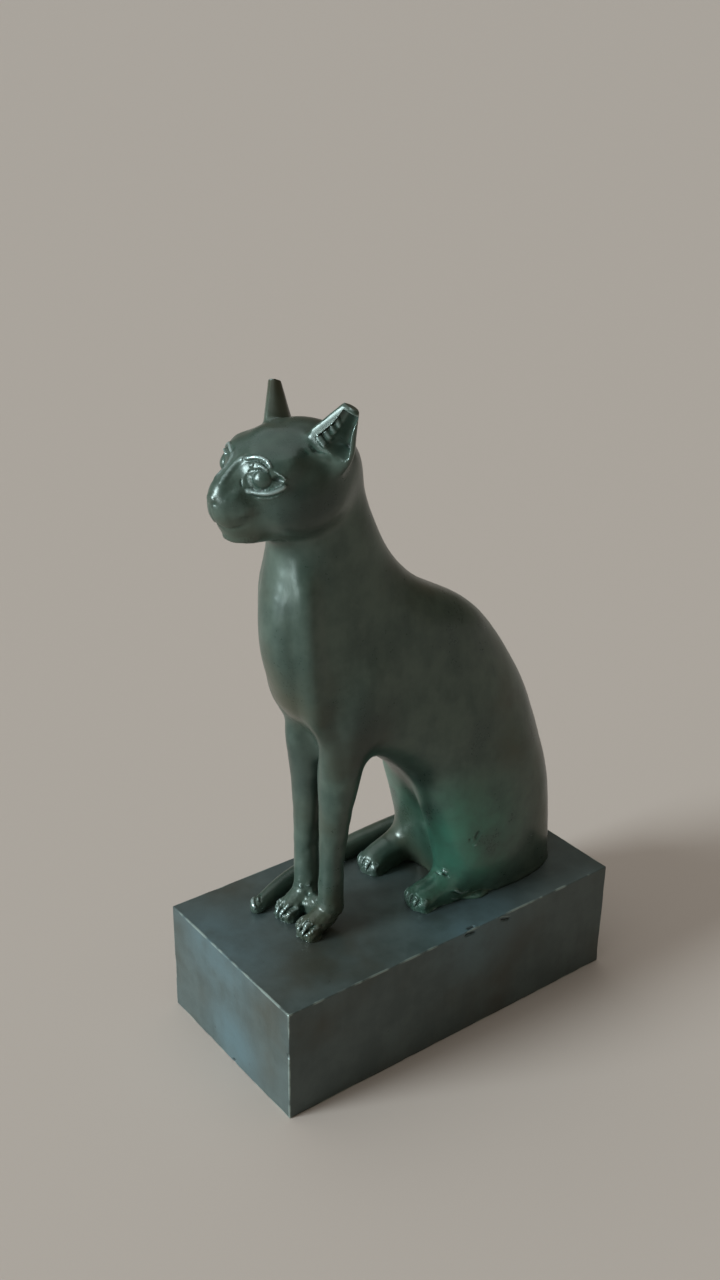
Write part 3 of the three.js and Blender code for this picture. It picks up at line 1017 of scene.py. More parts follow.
@dataclass
class SeatedCat:
    """The cat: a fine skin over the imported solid, with round ears, tail and legs and a carved face.

    The limbs' balls are (x, y, z, radius). Each row of the ledge is its inner and outer edge in plan, and
    its height over the plinth. Fine zones are the face, the ears and the paws, finer zones are the eyes, the
    ears' tops and the toes, and mark zones hold the tail's tip and the small marks.
    """

    node: str = "seated_cat"
    top: float = 30.0
    skirt: float = 4.0
    voxel: float = 0.82
    smoothing: int = 46
    ear: Ear = Ear()
    far_ear: Ear = Ear(
        tip=(14.1, -25.9, 160.9),
        shape=((0, 3, 6), (0.25, 5.2, 6.4), (0.45, 5.6, 5.6), (0.7, 4.1, 4), (1, 2.0, 2)),
    )
    eye: Patch = Patch((6.4, -41.8, 147.5), (0.62, -0.74, 0.26))
    leg_shift: float = 0.7
    leg: tuple[tuple[float, ...], ...] = (
        (6.4, -16, 97, 6.6),
        (6.8, -19, 86, 6.6),
        (6.1, -21.3, 75, 5.3),
        (5.4, -22.3, 62, 3.9),
        (5.2, -23.2, 48, 3),
        (4.9, -23, 36, 3.2),
    )
    tail: tuple[tuple[float, ...], ...] = (
        (-6, 41, 33, 4),
        (-14, 36, 32.6, 3.6),
        (-18.4, 24, 32.2, 3.2),
        (-19.2, 8, 32, 3),
        (-18.2, -8, 31.8, 2.7),
        (-15.8, -22, 31.6, 2.4),
        (-11.4, -34, 31.4, 2),
    )
    paws: tuple[Paw, ...] = (
        Paw(middle=4.6, tip=-30.4, spread=1.6, shift=0.7, long=2.2, part=0.75, swell=0.35),
        Paw(middle=9.8, tip=-1.4, spread=2.1, shift=0.0, long=0.2, part=0.5, swell=0.2),
    )
    web_at: Spot = (-24.2, 32.6)
    web_half: Point = (3.4, 2.2, 4.2)
    ledge_root: float = 1.5
    ledge_lip: float = 0.45
    ledge_crown: float = 0.3
    ledge: tuple[tuple[Spot, Spot, float], ...] = (
        ((8.8, 11.2), (11.0, 6.9), 0.5),
        ((10.0, 12.0), (12.6, 7.5), 1.3),
        ((11.3, 13.0), (14.0, 9.4), 0.9),
        ((12.1, 13.9), (14.8, 10.6), 1.4),
        ((13.1, 15.0), (15.9, 12.6), 1.2),
        ((14.0, 16.6), (16.5, 14.4), 1.3),
        ((14.6, 18.0), (16.2, 17.0), 0.5),
    )
    chest_ridge: tuple[Point, ...] = (
        (6.6, -32.2, 130),
        (7.2, -32.0, 119),
        (7.8, -31.8, 110),
        (8.0, -31.0, 101),
        (7.6, -29.6, 90),
        (7.0, -27.6, 79),
        (6.4, -25.6, 68),
    )
    fine_zones: tuple[Zone, ...] = (
        ((3.5, -42, 144), (9, 9.5, 12)),
        ((11.5, -27, 156), (6.5, 7, 6.5)),
        ((5.5, -28, 34), (6.5, 7.5, 5)),
        ((10, 0, 33), (6, 5, 5)),
    )
    finer_zones: tuple[Zone, ...] = (
        ((6.4, -42, 147.5), (5.4, 5, 5)),
        ((12, -28, 158), (7, 7.5, 6)),
        ((4.6, -30.6, 32.3), (5.2, 3.4, 3.4)),
        ((9.8, -1.4, 32), (5.5, 3.4, 3.4)),
    )
    mark_zones: tuple[Zone, ...] = (
        ((-12.5, -33, 32), (4, 4, 3.5)),
        ((7.4, -33.9, 123.2), (1.6, 1.6, 1.6)),
        ((12.4, 5.8, 38.2), (2.3, 2, 2)),
        ((17.2, 10.4, 49), (2, 2.3, 2.8)),
        ((15, 10, 32.2), (2.6, 5.5, 2.3)),
    )
    marks: tuple[Mark, ...] = (
        # The chip, the nick and the scratch on the left haunch.
        (((11.3, 5.3, 39.2), (12.4, 5.7, 38.9), (13.3, 6.3, 38.4)), 0.75, 0.35, 1),
        (((11.6, 5.3, 38.1), (12.5, 5.8, 37.7), (13.4, 6.4, 37.3)), 0.55, -0.6, 0),
        (((17.4, 12.0, 51.0), (17.3, 11.2, 49.7), (17.2, 10.6, 48.4)), 0.8, -0.55, 0),
        (((17.0, 8.9, 48.9), (17.1, 9.8, 49.0)), 0.5, -0.35, 0),
        (((17.2, 10.2, 47.1), (17.3, 11.4, 47.2)), 0.55, 0.25, 0.7),
        (((15.4, 4.5, 63.1), (15.9, 5.7, 63.3), (16.3, 6.8, 63.3)), 0.4, 0.12, 0.4),
        # Folds in the ledge of flash, their crests painted pale as a painted highlight.
        (
            ((14.2, 5.7, 34.0), (14.6, 7.3, 33.9), (14.7, 9.2, 32.5), (14.8, 11.0, 32.4), (15.4, 12.8, 31.7)),
            0.5,
            0.5,
            0.95,
        ),
        (
            ((14.2, 5.7, 33.2), (14.6, 7.3, 33.0), (14.7, 9.2, 31.7), (14.8, 11.0, 31.6), (15.4, 12.8, 31.0)),
            0.4,
            -0.5,
            0,
        ),
        (((14.2, 5.8, 31.9), (14.6, 7.6, 31.0), (14.9, 9.4, 30.5)), 0.4, 0.35, 0.9),
        # Pits down the right front leg, and one on the chest.
        (((-4.9, -26.1, 45.6), (-4.7, -26.1, 44.2)), 0.55, -0.45, 0),
        (((-3.0, -23.2, 50.5), (-3.0, -22.9, 48.2)), 0.6, -0.5, 0),
        (((-2.9, -23.9, 43.9), (-2.9, -23.9, 42.6)), 0.5, -0.4, 0),
        (((-2.4, -23.9, 50.0), (-2.3, -23.9, 48.4)), 0.5, -0.45, 0),
        (((-2.2, -23.8, 45.6), (-2.3, -24.0, 44.2)), 0.5, -0.4, 0),
        (((-3.3, -25.3, 48.4), (-3.5, -25.4, 47.2)), 0.4, -0.3, 0),
        (((-4.5, -25.9, 62.6), (-4.5, -25.9, 61.6)), 0.4, -0.25, 0),
        (((-1, -24.8, 81.6), (-1.2, -24.8, 80.4)), 0.5, -0.3, 0),
        (((7.3, -34.0, 123.5), (7.4, -33.9, 122.9)), 0.5, -0.35, 0),
        # Lumps of filler at the ankles, painted pale as wear and as a painted highlight.
        (((-3.4, -24.9, 39.0), (-2.8, -24.7, 38.3)), 0.8, 0.5, 0.8),
        (((-4.9, -26.0, 40.0), (-4.2, -25.9, 39.3)), 0.7, 0.4, 0.7),
        (((2.4, -26.2, 38.1), (3.2, -26.0, 38.1)), 0.7, 0.35, 0.8),
        (((-4.6, -26.0, 38.4), (-3.9, -25.9, 37.6)), 0.7, 0.5, 0.7),
        (((-2.6, -24.6, 38.9), (-1.6, -24.6, 38.6)), 0.8, 0.55, 0.7),
        (((-2.6, -26.0, 34.6), (-1.8, -26.0, 33.6)), 0.8, 0.5, 0.7),
        (((2.4, -26.3, 38.1), (3.0, -26.3, 37.2)), 0.6, 0.35, 0.7),
        # Knuckles and the tail's tip, painted pale as wear and as a painted highlight.
        (((-6.4, -31.4, 32.9), (-5.5, -31.6, 32.8)), 0.7, 0.3, 0.9),
        (((-4.3, -31.2, 31.9), (-3.7, -31.4, 31.4)), 0.6, 0.3, 0.9),
        (((4.5, -31.5, 33.1), (5.3, -31.4, 32.9)), 0.6, 0.25, 0.8),
        (((5.9, -31.4, 32.2), (6.4, -31.2, 31.6)), 0.5, 0.25, 0.8),
        (((-11.9, -33.4, 33.3), (-10.8, -34.2, 33.2)), 0.8, 0.2, 0.8),
    )
    finish: Patina = Patina(
        name="cat_patina",
        ground=tint(56, 72, 64),
        mottle=tint(78, 93, 83),
        brown=tint(64, 62, 45),
        verdigris_and_reflection=tint(66, 126, 106),
        grime_and_shade=tint(22, 28, 26),
        wear_and_highlight=tint(166, 184, 180),
        verdigris_and_reflection_at=(((14, 6, 46), 26, 20), ((-16, 14, 60), 20, 16)),
        gloss=0.31,
        # Painted shade on the left cheek, the left shoulder and the right front leg.
        painted_shade_at=(((10, -34, 141), 12, 9), ((9, -20, 84), 15, 12), ((-7, -22, 70), 16, 14)),
    )

    def blank(self) -> bpy.types.Object:
        """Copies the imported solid, merges its points and lets its flat underside down.

        Returns:
            The copy.
        """
        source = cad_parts[self.node]
        piece = bpy.data.objects.new("cat", source.data.copy())
        bpy.context.scene.collection.objects.link(piece)
        with editing(piece):
            bpy.ops.mesh.remove_doubles(threshold=0.001 * MM)
        clay = Clay(piece)
        flat = clay.points[:, 2] < self.top + FLAT_TOLERANCE
        clay.points[flat, 2] -= self.skirt
        clay.write()
        return piece

    def ear_on(self, side: int) -> Ear:
        """The ear on the left, 1, or the right, -1."""
        return self.ear if side > 0 else self.far_ear

    def limbs(self) -> list[bpy.types.Object]:
        """Makes the front legs, the whole ears, the tail and the rough web of metal between the ankles.

        Returns:
            The new objects.
        """
        made = []
        for side in BOTH_SIDES:
            balls = tuple((side * x - self.leg_shift, y, z, r) for x, y, z, r in self.leg)
            made.append(tube("leg", balls))
            made.append(self.ear_on(side).solid(side, scooped=False))
        made.append(tube("tail", self.tail))
        made.append(ball("web", (-self.leg_shift, *self.web_at), self.web_half))
        return made

    def flash(self) -> bpy.types.Object:
        """Makes the thin ledge of cast metal that runs out over the plinth from the left haunch.

        Returns:
            The new object, which reaches into the haunch and the plinth's place.
        """
        rings = []
        low, lip = self.top - self.ledge_root, self.top + self.ledge_lip
        for inner, outer, height in self.ledge:
            inside = np.array(inner) * 2.0 - np.array(outer)
            middle = (np.array(inner) + np.array(outer)) / 2
            crown, high = lip + self.ledge_crown * height, self.top + height
            ring = [(*inside, low), (*outer, low), (*outer, lip)]
            ring += [(*middle, crown), (*inner, high), (*inside, high)]
            rings.append(ring)
        return lofted("flash", np.array(rings))

    def softness(self, points: np.ndarray) -> np.ndarray:
        """How much each place may be smoothed: the body much, the head and legs less, the paws little.

        Args:
            points: the places.

        Returns:
            A share from 0 to 1 for each place.
        """
        x, y, z = points.T
        head = ease(z, 126, 136)
        weight = 1 - 0.72 * head
        legs = ease(y, -10, -15) * ease(z, 92, 78)
        weight *= 1 - 0.72 * legs
        paws = ease(z, 42, 36) * ease(y, 6, 1)
        weight *= 1 - 0.75 * paws
        tail = ease(x, -15.5, -17) * ease(z, 40, 35)
        return weight * (1 - 0.8 * tail)

    def fuse(self, pieces: list[bpy.types.Object]) -> bpy.types.Object:
        """Joins the forms into one even skin and smooths it.

        Args:
            pieces: the forms.

        Returns:
            The one object that they become.
        """
        piece = joined(pieces)
        piece.data.remesh_voxel_size = self.voxel * MM
        select_only(piece)
        bpy.ops.object.voxel_remesh()
        clay = Clay(piece)
        clay.even_out(self.softness(clay.points), self.smoothing)
        clay.write()
        return piece

    def stand(self, piece: bpy.types.Object) -> None:
        """Cuts the underside flat where the cat stands on the plinth.

        Args:
            piece: the cat.
        """
        with editing(piece):
            bpy.ops.mesh.bisect(
                plane_co=(0, 0, self.top * MM),
                plane_no=(0, 0, -1),
                use_fill=True,
                clear_outer=True,
                threshold=CUT_TOLERANCE,
            )
            bpy.ops.mesh.quads_convert_to_tris()

    def true_ears(self, piece: bpy.types.Object) -> None:
        """Brings the ears onto their exact horns above the soft join at their roots.

        Args:
            piece: the cat.
        """
        clay = Clay(piece)
        for side in BOTH_SIDES:
            ear = self.ear_on(side)
            horn = ear.solid(side, scooped=False)
            corners = [tuple(v.co / MM) for v in horn.data.vertices]
            tree = BVHTree.FromPolygons(corners, [tuple(p.vertices) for p in horn.data.polygons])
            bpy.data.objects.remove(horn)
            share = ease(ear.along(clay.points, side), 0.34, 0.52) * (side * clay.points[:, 0] > 2)
            for n in np.nonzero(share > 0)[0]:
                spot, _, _, away = tree.find_nearest(Vector(clay.points[n]))
                pull = share[n] * float(ease(np.array(away), 1.7, 1.0))
                clay.points[n] += pull * (np.array(spot) - clay.points[n])
        clay.write()

    def scoop_ears(self, piece: bpy.types.Object) -> None:
        """Hollows the ears out and takes the sharpness off the cuts.

        Args:
            piece: the cat.
        """
        for side in BOTH_SIDES:
            combine(piece, self.ear_on(side).solid(side, scooped=True), "DIFFERENCE")
        clay = Clay(piece)
        left, right = (self.ear_on(side).along(clay.points, side) for side in BOTH_SIDES)
        share = np.where(clay.points[:, 0] > 0, left, right)
        head = ease(clay.points[:, 1], -42, -38) * ease(clay.points[:, 2], 148, 150)
        clay.even_out(0.6 * ease(share, 0.05, 0.2) * head, 3)
        clay.even_out(0.8 * ease(share, 0.1, 0.2) * ease(share, 0.52, 0.42) * head, 24)
        clay.write()

    def carve_eye(self, clay: Clay) -> None:
        """Lays the eyeball, its lids, the corners and the brow on each side of the face.

        Args:
            clay: the cat's surface.
        """
        eye = self.eye
        clay.swell(Dome(eye, (0.2, 0), (4.0, 2.3), -0.55, power=0.8))
        clay.swell(Dome(eye, (3.1, 0.3), (1.5, 1.0), -0.8, power=0.9))
        clay.swell(Dome(eye, (0, 0.1), (2.1, 1.8), 0.65, power=0.6))
        # The brow, lids and bands are painted pale with their wear: partly rubbed paint, partly a painted
        # highlight along the lit lines of the face.
        brow = (
            (1.2, -48.6, 146.2),
            (1.0, -47.2, 148.1),
            (0.9, -45.8, 149.3),
            (1.1, -44.6, 150.3),
            (1.7, -43.7, 151.0),
            (2.7, -42.9, 151.2),
        )
        clay.press(Stroke(brow, 1.3, 0.42, fade=0.15, wear_and_highlight=0.6))
        top = (
            (2.0, -43.5, 151.0),
            (3.9, -42.0, 151.1),
            (5.2, -41.1, 151.0),
            (6.2, -40.5, 150.6),
            (7.0, -40.3, 150.1),
            (7.6, -40.1, 149.4),
        )
        clay.press(Stroke(top, 0.65, 0.35, fade=0.12, wear_and_highlight=0.9))
        corner = ((7.6, -40.1, 149.4), (8.5, -39.5, 149.0), (9.2, -39.0, 148.3), (9.8, -38.6, 147.5))
        clay.press(Stroke(corner, 0.6, 0.2, fade=0.3))
        under_top = (
            (3.0, -43.1, 150.4),
            (3.9, -42.2, 150.6),
            (5.2, -41.4, 150.5),
            (6.2, -40.8, 150.1),
            (7.1, -40.4, 149.5),
        )
        clay.press(Stroke(under_top, 0.3, -0.3, fade=0.2))
        tear = ((4.1, -42.8, 149.8), (4.5, -42.3, 150.0), (4.9, -42.0, 149.9))
        clay.press(Stroke(tear, 0.6, 0.4, fade=0.2, wear_and_highlight=0.8))
        pad = ((5.4, -41.7, 149.9), (6.4, -41.0, 149.6), (7.2, -40.6, 149.0))
        clay.press(Stroke(pad, 0.6, 0.4, fade=0.2, wear_and_highlight=0.8))
        lid = (
            (3.9, -43.4, 148.9),
            (4.6, -42.8, 149.1),
            (5.4, -42.0, 149.3),
            (6.2, -41.5, 149.2),
            (7.0, -41.0, 148.9),
        )
        clay.press(Stroke(lid, 0.28, -0.35, fade=0.15))
        ring = (
            (7.4, -40.9, 148.7),
            (7.9, -40.7, 147.9),
            (7.8, -41.1, 146.8),
            (6.9, -42.0, 146.0),
            (5.6, -43.1, 145.9),
        )
        clay.press(Stroke(ring, 0.3, -0.35, fade=0.15))
        inner = ((3.2, -45.0, 147.6), (3.4, -45.1, 147.0), (3.6, -45.2, 146.4), (3.9, -45.1, 145.8))
        clay.press(Stroke(inner, 0.35, -0.2, fade=0.2))
        low_lid = ((4.1, -44.9, 145.4), (4.7, -44.2, 145.6), (5.3, -43.5, 145.6))
        clay.press(Stroke(low_lid, 0.5, 0.3, fade=0.2, wear_and_highlight=0.8))
        groove = (
            (4.3, -44.4, 146.1),
            (5.1, -43.4, 146.0),
            (6.7, -42.2, 145.9),
            (8.4, -40.9, 146.2),
            (9.2, -39.8, 146.9),
        )
        clay.press(Stroke(groove, 0.3, -0.3, fade=0.15))
        band = (
            (3.9, -45.2, 145.4),
            (4.6, -44.4, 145.2),
            (5.4, -43.6, 145.2),
            (7.0, -42.2, 145.3),
            (8.8, -40.8, 145.7),
            (9.7, -39.4, 146.6),
            (9.9, -38.6, 147.4),
        )
        clay.press(Stroke(band, 0.9, 0.42, fade=0.12, wear_and_highlight=0.85))
        second = ((4.8, -44.5, 143.9), (6.4, -42.8, 143.9), (8.9, -40.9, 144.5), (10.0, -39.3, 145.5))
        clay.press(Stroke(second, 0.45, 0.12, fade=0.2, wear_and_highlight=0.5))
        clay.press(Stroke(((5.0, -44.3, 143.2), (5.9, -43.6, 142.6)), 1.3, 0.05, fade=0.3, wear_and_highlight=0.4))

    def carve_muzzle(self, clay: Clay) -> None:
        """Lays the nose, mouth and chin on the face.

        Args:
            clay: the cat's surface.
        """
        nose = Patch((0, -50.4, 143.2), (0, -1, 0.25))
        clay.swell(Dome(nose, (0, 0.3), (1.7, 1.0), 0.3))
        clay.press(Stroke(((1.0, -50.3, 142.6), (1.5, -50, 142.5)), 0.45, -0.5))
        flank = ((2.4, -47.7, 145.6), (4.0, -45.9, 143.2), (4.8, -44.7, 141.0), (5.0, -43.9, 139.4))
        clay.press(Stroke(flank, 3.8, 0.85, fade=0.3))
        clay.press(Stroke(((0, -50.4, 141.9), (0, -50.1, 140.4), (0, -49.5, 138.6)), 0.45, -0.18, both=False))
        mouth = (
            (0, -49.2, 138.3),
            (1.2, -48.4, 137.3),
            (2.8, -47.1, 137.2),
            (3.8, -45.8, 137.6),
            (5.0, -44.0, 138.6),
        )
        clay.press(Stroke(whole(mouth), 0.6, -0.28, both=False, fade=0.2))
        chin = (
            (0, -47.3, 133.9),
            (1.5, -46.4, 133.9),
            (3.0, -44.9, 134.1),
            (3.8, -42.7, 133.9),
            (3.6, -40.5, 133.4),
        )
        clay.press(Stroke(whole(chin), 1.3, 0.5, both=False, fade=0.15))
        notch = ((3.4, -37.4, 133.1), (4.1, -36.3, 133.3), (4.3, -35.1, 132.8))
        clay.press(Stroke(notch, 0.45, -0.5, Section.SHARP, both=False))

    def carve_ears(self, clay: Clay) -> None:
        """Lays the folds and ribs in the ears, and a ridge in front of the right one.

        Args:
            clay: the cat's surface.
        """
        fold = (
            (7.6, -33.2, 154.0),
            (9.1, -32.5, 152.9),
            (10.1, -32.0, 152.0),
            (11.0, -30.0, 151.0),
            (11.2, -27.5, 150.4),
        )
        clay.press(Stroke(fold, 1.1, 0.4, fade=0.3))
        # The ribs and the ridge are painted pale as wear and as a painted highlight on their lit crests.
        for t, height in ((0.44, 0.45), (0.54, 0.6), (0.64, 0.6), (0.74, 0.45)):
            clay.press(Stroke(self.ear.rib(t), 0.7, height, Section.ROUND, both=False, fade=0.15, wear_and_highlight=0.5))
        ridge = ((-3.0, -35.0, 155.7), (-3.4, -32.3, 155.9), (-3.0, -29.8, 156.2))
        clay.press(Stroke(ridge, 0.8, 0.5, both=False, fade=0.3, wear_and_highlight=0.7))

    def carve_paws(self, clay: Clay) -> None:
        """Rounds the toes, parts them and wrinkles them.

        Args:
            clay: the cat's surface.
        """
        for paw in self.paws:
            for side in BOTH_SIDES:
                middles = [paw.middle + toe * paw.spread for toe in (-1.5, -0.5, 0.5, 1.5)]
                across = [side * middle - paw.shift for middle in middles]
                for x, back in zip(across, (1, 0.1, 0.1, 1)):
                    front = paw.tip + back
                    # Each knuckle is painted pale as wear and as a painted highlight.
                    knuckle = ((x, front - 1.4, 31.6), (x, front - 0.4, 32.6), (x, front + paw.long, 33.4))
                    clay.press(Stroke(knuckle, 0.62 * paw.spread, paw.swell, both=False, fade=0.3, wear_and_highlight=0.5))
                    crease = ((x - 0.5, front - 0.2, 33), (x, front - 0.5, 33), (x + 0.5, front - 0.2, 33))
                    clay.press(Stroke(crease, 0.3, -0.22, both=False, fade=0.3))
                for a, b in zip(across, across[1:]):
                    x = (a + b) / 2
                    y = paw.tip
                    cleft = ((x, y - 2.2, 30.8), (x, y - 1.2, 32.2), (x, y + paw.long, 33.6))
                    clay.press(Stroke(cleft, 0.42, -paw.part, both=False, fade=0.3))

    def turn_chest(self, clay: Clay) -> None:
        """Turns the front of the chest into its sides along a soft ridge that runs down the shoulders.

        Args:
            clay: the cat's surface.
        """
        clay.press(Stroke(self.chest_ridge, 4.5, 1.3, fade=0.2))
        front = ((-3.0, -37, 133), (-3.5, -39.6, 120), (-3.5, -39.2, 108), (-3, -36, 96), (-2.5, -31, 84))
        clay.press(Stroke(front, 12, -1.1, both=False, fade=0.4))

    def curl_tail(self, clay: Clay) -> None:
        """Lays a ridge on the last of the tail, which ends in a rolled tip.

        Args:
            clay: the cat's surface.
        """
        ridge = ((-17, -16, 34.5), (-15.6, -23, 34.2), (-13.6, -29, 33.8), (-11.6, -33, 33.4))
        clay.press(Stroke(ridge, 1.1, 0.12, both=False, fade=0.3))
        # The curl is painted pale as wear and as a painted highlight.
        curl = ((-13.4, -33.2, 32.2), (-12.3, -34.8, 33.0), (-10.8, -35.6, 32.6), (-9.8, -35.3, 31.5))
        clay.press(Stroke(curl, 0.6, 0.45, Section.ROUND, both=False, fade=0.2, wear_and_highlight=0.8))
        notch = ((-13.0, -31.6, 32.6), (-11.6, -33.2, 33.3), (-10.2, -33.8, 32.6))
        clay.press(Stroke(notch, 0.45, -0.4, both=False, fade=0.2))

    def mark(self, clay: Clay) -> None:
        """Leaves chips, pits and filler, and lowers the tops of the hind feet.

        Args:
            clay: the cat's surface.
        """
        clay.scar(self.marks)
        instep = ((9.8, 6.2, 40), (9.8, 5.4, 38), (9.9, 4.4, 36.8))
        clay.press(Stroke(instep, 3.4, -0.35, fade=0.3))

    def roughen(self, clay: Clay) -> None:
        """Leaves soft lumps, rough metal about the feet and a seam where the cat stands.

        Args:
            clay: the cat's surface.
        """
        grounded = clay.points[:, 2] < self.top + FLAT_TOLERANCE
        x, y, z = clay.points.T
        face = ease(z, 134, 142)
        lumps = 0.1 * wander(clay.points, 11, 1) + 0.05 * wander(clay.points, 5, 2)
        ankles = ease(z, 43, 36) * ease(y, -17, -21) * ease(x, -10.5, -9)
        hind = ease(z, 34.5, 32.5) * ease(y, 6, 2) * ease(y, -8, -6)
        toes = ease(y, -26, -29) * ease(z, 36, 34)
        rough = (0.13 + 0.1 * toes) * wander(clay.points, 1.4, 3) + 0.06 * wander(clay.points, 0.8, 4)
        skin = 0.012 * wander(clay.points, 1.6, 8) * (1 - 0.5 * face)
        legs = ease(z, 96, 84) * ease(y, -12, -17) * ease(z, 36, 40)
        skin += 0.09 * wander(clay.points, 2.7, 11) * legs
        seam = 0.35 * ease(z, self.top + 1.1, self.top) * (0.6 + 0.6 * wander(clay.points, 2.3, 7))
        heights = lumps * (1 - 0.6 * face) + rough * np.maximum(ankles, 0.6 * hind) + skin
        clay.points = clay.points + heights[:, None] * clay.out
        flat = clay.out * (1, 1, 0)
        flat /= np.maximum(np.linalg.norm(flat, axis=1, keepdims=True), 0.2)
        clay.points = clay.points + seam[:, None] * flat
        clay.points[grounded, 2] = self.top

    def build(self) -> bpy.types.Object:
        """Builds and dresses the cat.

        Returns:
            The finished piece.
        """
        piece = self.fuse([self.blank(), *self.limbs()])
        combine(piece, self.flash(), "UNION")
        self.stand(piece)
        refine(piece, self.fine_zones)
        refine(piece, self.finer_zones)
        refine(piece, self.mark_zones, sides=(1,))
        clay = Clay(piece)
        clay.even_out(0.5 * ease(clay.points[:, 2], self.top, self.top + 1), 4)
        clay.write()
        self.true_ears(piece)
        self.scoop_ears(piece)
        clay = Clay(piece)
        self.carve_eye(clay)
        self.carve_muzzle(clay)
        self.carve_ears(clay)
        self.carve_paws(clay)
        self.mark(clay)
        self.turn_chest(clay)
        self.curl_tail(clay)
        clay.settle()
        clay.hold()
        self.roughen(clay)
        clay.points = np.clip(clay.points, *packed_box(self.node))
        clay.hold()
        clay.note_wear_and_highlights(5)
        piece.name = "cat"
        dress(piece, self.finish.make(), 50)
        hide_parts(self.node)
        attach(piece, "root")
        LOG.info("cat: %d faces", len(piece.data.polygons))
        return piece


@dataclass
class Plinth:
    """The block: slightly uneven faces, worn edges painted pale, partly as a painted reflection, and small
    chips.
    """

    node: str = "plinth"
    edge: float = 0.35
    mesh_step: float = 1.1
    edge_row: float = 0.6
    sway: float = 0.06
    nibble: float = 0.18
    nibble_reach: float = 1.5
    finish: Patina = Patina(
        name="plinth_patina",
        ground=tint(66, 78, 76),
        mottle=tint(80, 92, 90),
        brown=tint(62, 60, 48),
        verdigris_and_reflection=tint(84, 107, 112),
        grime_and_shade=tint(26, 31, 29),
        wear_and_highlight=tint(150, 165, 158),
        # A bluish-grey patch low on the front face, and painted reflection in patches on the top at the right
        # and at the front left.
        verdigris_and_reflection_at=(((2, -50, 6), 18, 16), ((24, 6, 31), 22, 18), ((-6, -52, 32), 24, 20)),
        gloss=0.42,
    )
    nicks: tuple[Mark, ...] = (
        (((25.4, 1.3, 29.9), (25.4, 3.3, 29.8), (25.4, 5.4, 29.6)), 0.45, -0.02, 1),
        (((24.6, 2.8, 30), (24.5, 4.0, 30), (24.6, 5.4, 30)), 0.5, -0.45, 0),
        (((25.5, 1.0, 29.0), (25.5, 3.0, 28.9), (25.5, 5.4, 28.6)), 0.6, -0.5, 0),
        (
            ((25.5, 11.6, 29.5), (25.5, 13.2, 29.6), (25.5, 15, 29), (25.5, 16.6, 28.7), (25.5, 17.8, 29.3)),
            0.35,
            -0.02,
            0.8,
        ),
        (((25.5, 12.6, 28.9), (25.5, 14.8, 28.2), (25.5, 16.8, 27.9)), 0.6, -0.45, 0),
        (((1.0, -50.7, 0.6), (2.8, -50.7, 0.7)), 0.8, -0.6, 0),
        (((24.9, -50.4, 19.0), (25.2, -50.6, 17.6)), 0.6, -0.4, 0.8),
    )
    nick_zones: tuple[Zone, ...] = (
        ((25.2, 3.4, 29.4), (1.5, 3.4, 1.5)),
        ((25.2, 14.7, 29), (1.5, 4.2, 2)),
        ((1.9, -50.2, 0.8), (2, 1.5, 1.4)),
        ((25, -50.2, 18.3), (1.2, 1.2, 1.8)),
    )

    def sides_within(self, points: np.ndarray, reach: float) -> np.ndarray:
        """How many of the block's sides each point is within reach of: 2 on an edge, 3 at a corner."""
        low, high = packed_box(self.node)
        return np.sum((points < low + reach) | (points > high - reach), axis=1)

    def block(self) -> bpy.types.Object:
        """Makes the bevelled block, cut into small even faces with a narrow row along each edge.

        Returns:
            The new object.
        """
        low, high = packed_box(self.node)
        size, middle = high - low, (low + high) / 2
        bpy.ops.object.select_all(action="DESELECT")
        bpy.ops.mesh.primitive_cube_add(size=1, location=Vector(middle) * MM, scale=Vector(size) * MM)
        piece = bpy.context.object
        piece.name = "plinth_block"
        bpy.ops.object.transform_apply(location=True, rotation=True, scale=True)
        finish_with(piece, "BEVEL", width=self.edge * MM, segments=3, limit_method="NONE")
        for axis in range(3):
            count = round(size[axis] / self.mesh_step)
            inner = self.edge_row / size[axis]
            for share in (inner, *(n / count for n in range(1, count)), 1 - inner):
                spot = Vector(low + size * share) * MM
                normal = [float(axis == k) for k in range(3)]
                with editing(piece):
                    bpy.ops.mesh.bisect(plane_co=spot, plane_no=normal, threshold=CUT_TOLERANCE)
        return piece

    def wear_down(self, clay: Clay) -> None:
        """Leaves the faces uneven, the edges nibbled and the nicks in place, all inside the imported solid.

        Args:
            clay: the block's surface.
        """
        low, high = packed_box(self.node)
        clay.scar(self.nicks)
        clay.settle()
        near_edge = self.sides_within(clay.points, self.nibble_reach) > 1
        sway = self.sway * wander(clay.points, 14, 5) - self.sway
        nibble = -self.nibble * np.clip(wander(clay.points, 3.1, 6) - 0.15, 0, 1) * near_edge
        heights = sway + nibble
        heights[clay.points[:, 2] < low[2] + FLAT_TOLERANCE] = 0
        clay.points = clay.points + heights[:, None] * clay.out
        clay.points = np.clip(clay.points, low, high)

    def build(self) -> bpy.types.Object:
        """Builds and dresses the plinth.

        Returns:
            The finished piece.
        """
        piece = self.block()
        for _ in range(2):
            refine(piece, self.nick_zones, sides=(1,))
        clay = Clay(piece)
        self.wear_down(clay)
        clay.hold()
        # Pale broken lines along the edges: partly worn paint, partly a painted reflection on the bevels.
        edge_wear_and_reflection = 0.55 + 0.6 * wander(clay.points, 4, 9) + 0.35 * wander(clay.points, 1.5, 10)
        on_edge = self.sides_within(clay.points, self.edge + 0.1) > 1
        clay.note("edge", np.maximum(np.clip(edge_wear_and_reflection, 0, 1) * on_edge, clay.worn_and_highlit))
        clay.note("hollow", ease(-clay.bend(2), *HOLLOW_BEND))
        dress(piece, self.finish.make(), 30)
        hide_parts(self.node)
        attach(piece, "root")
        LOG.info("plinth_block: %d faces", len(piece.data.polygons))
        return piece


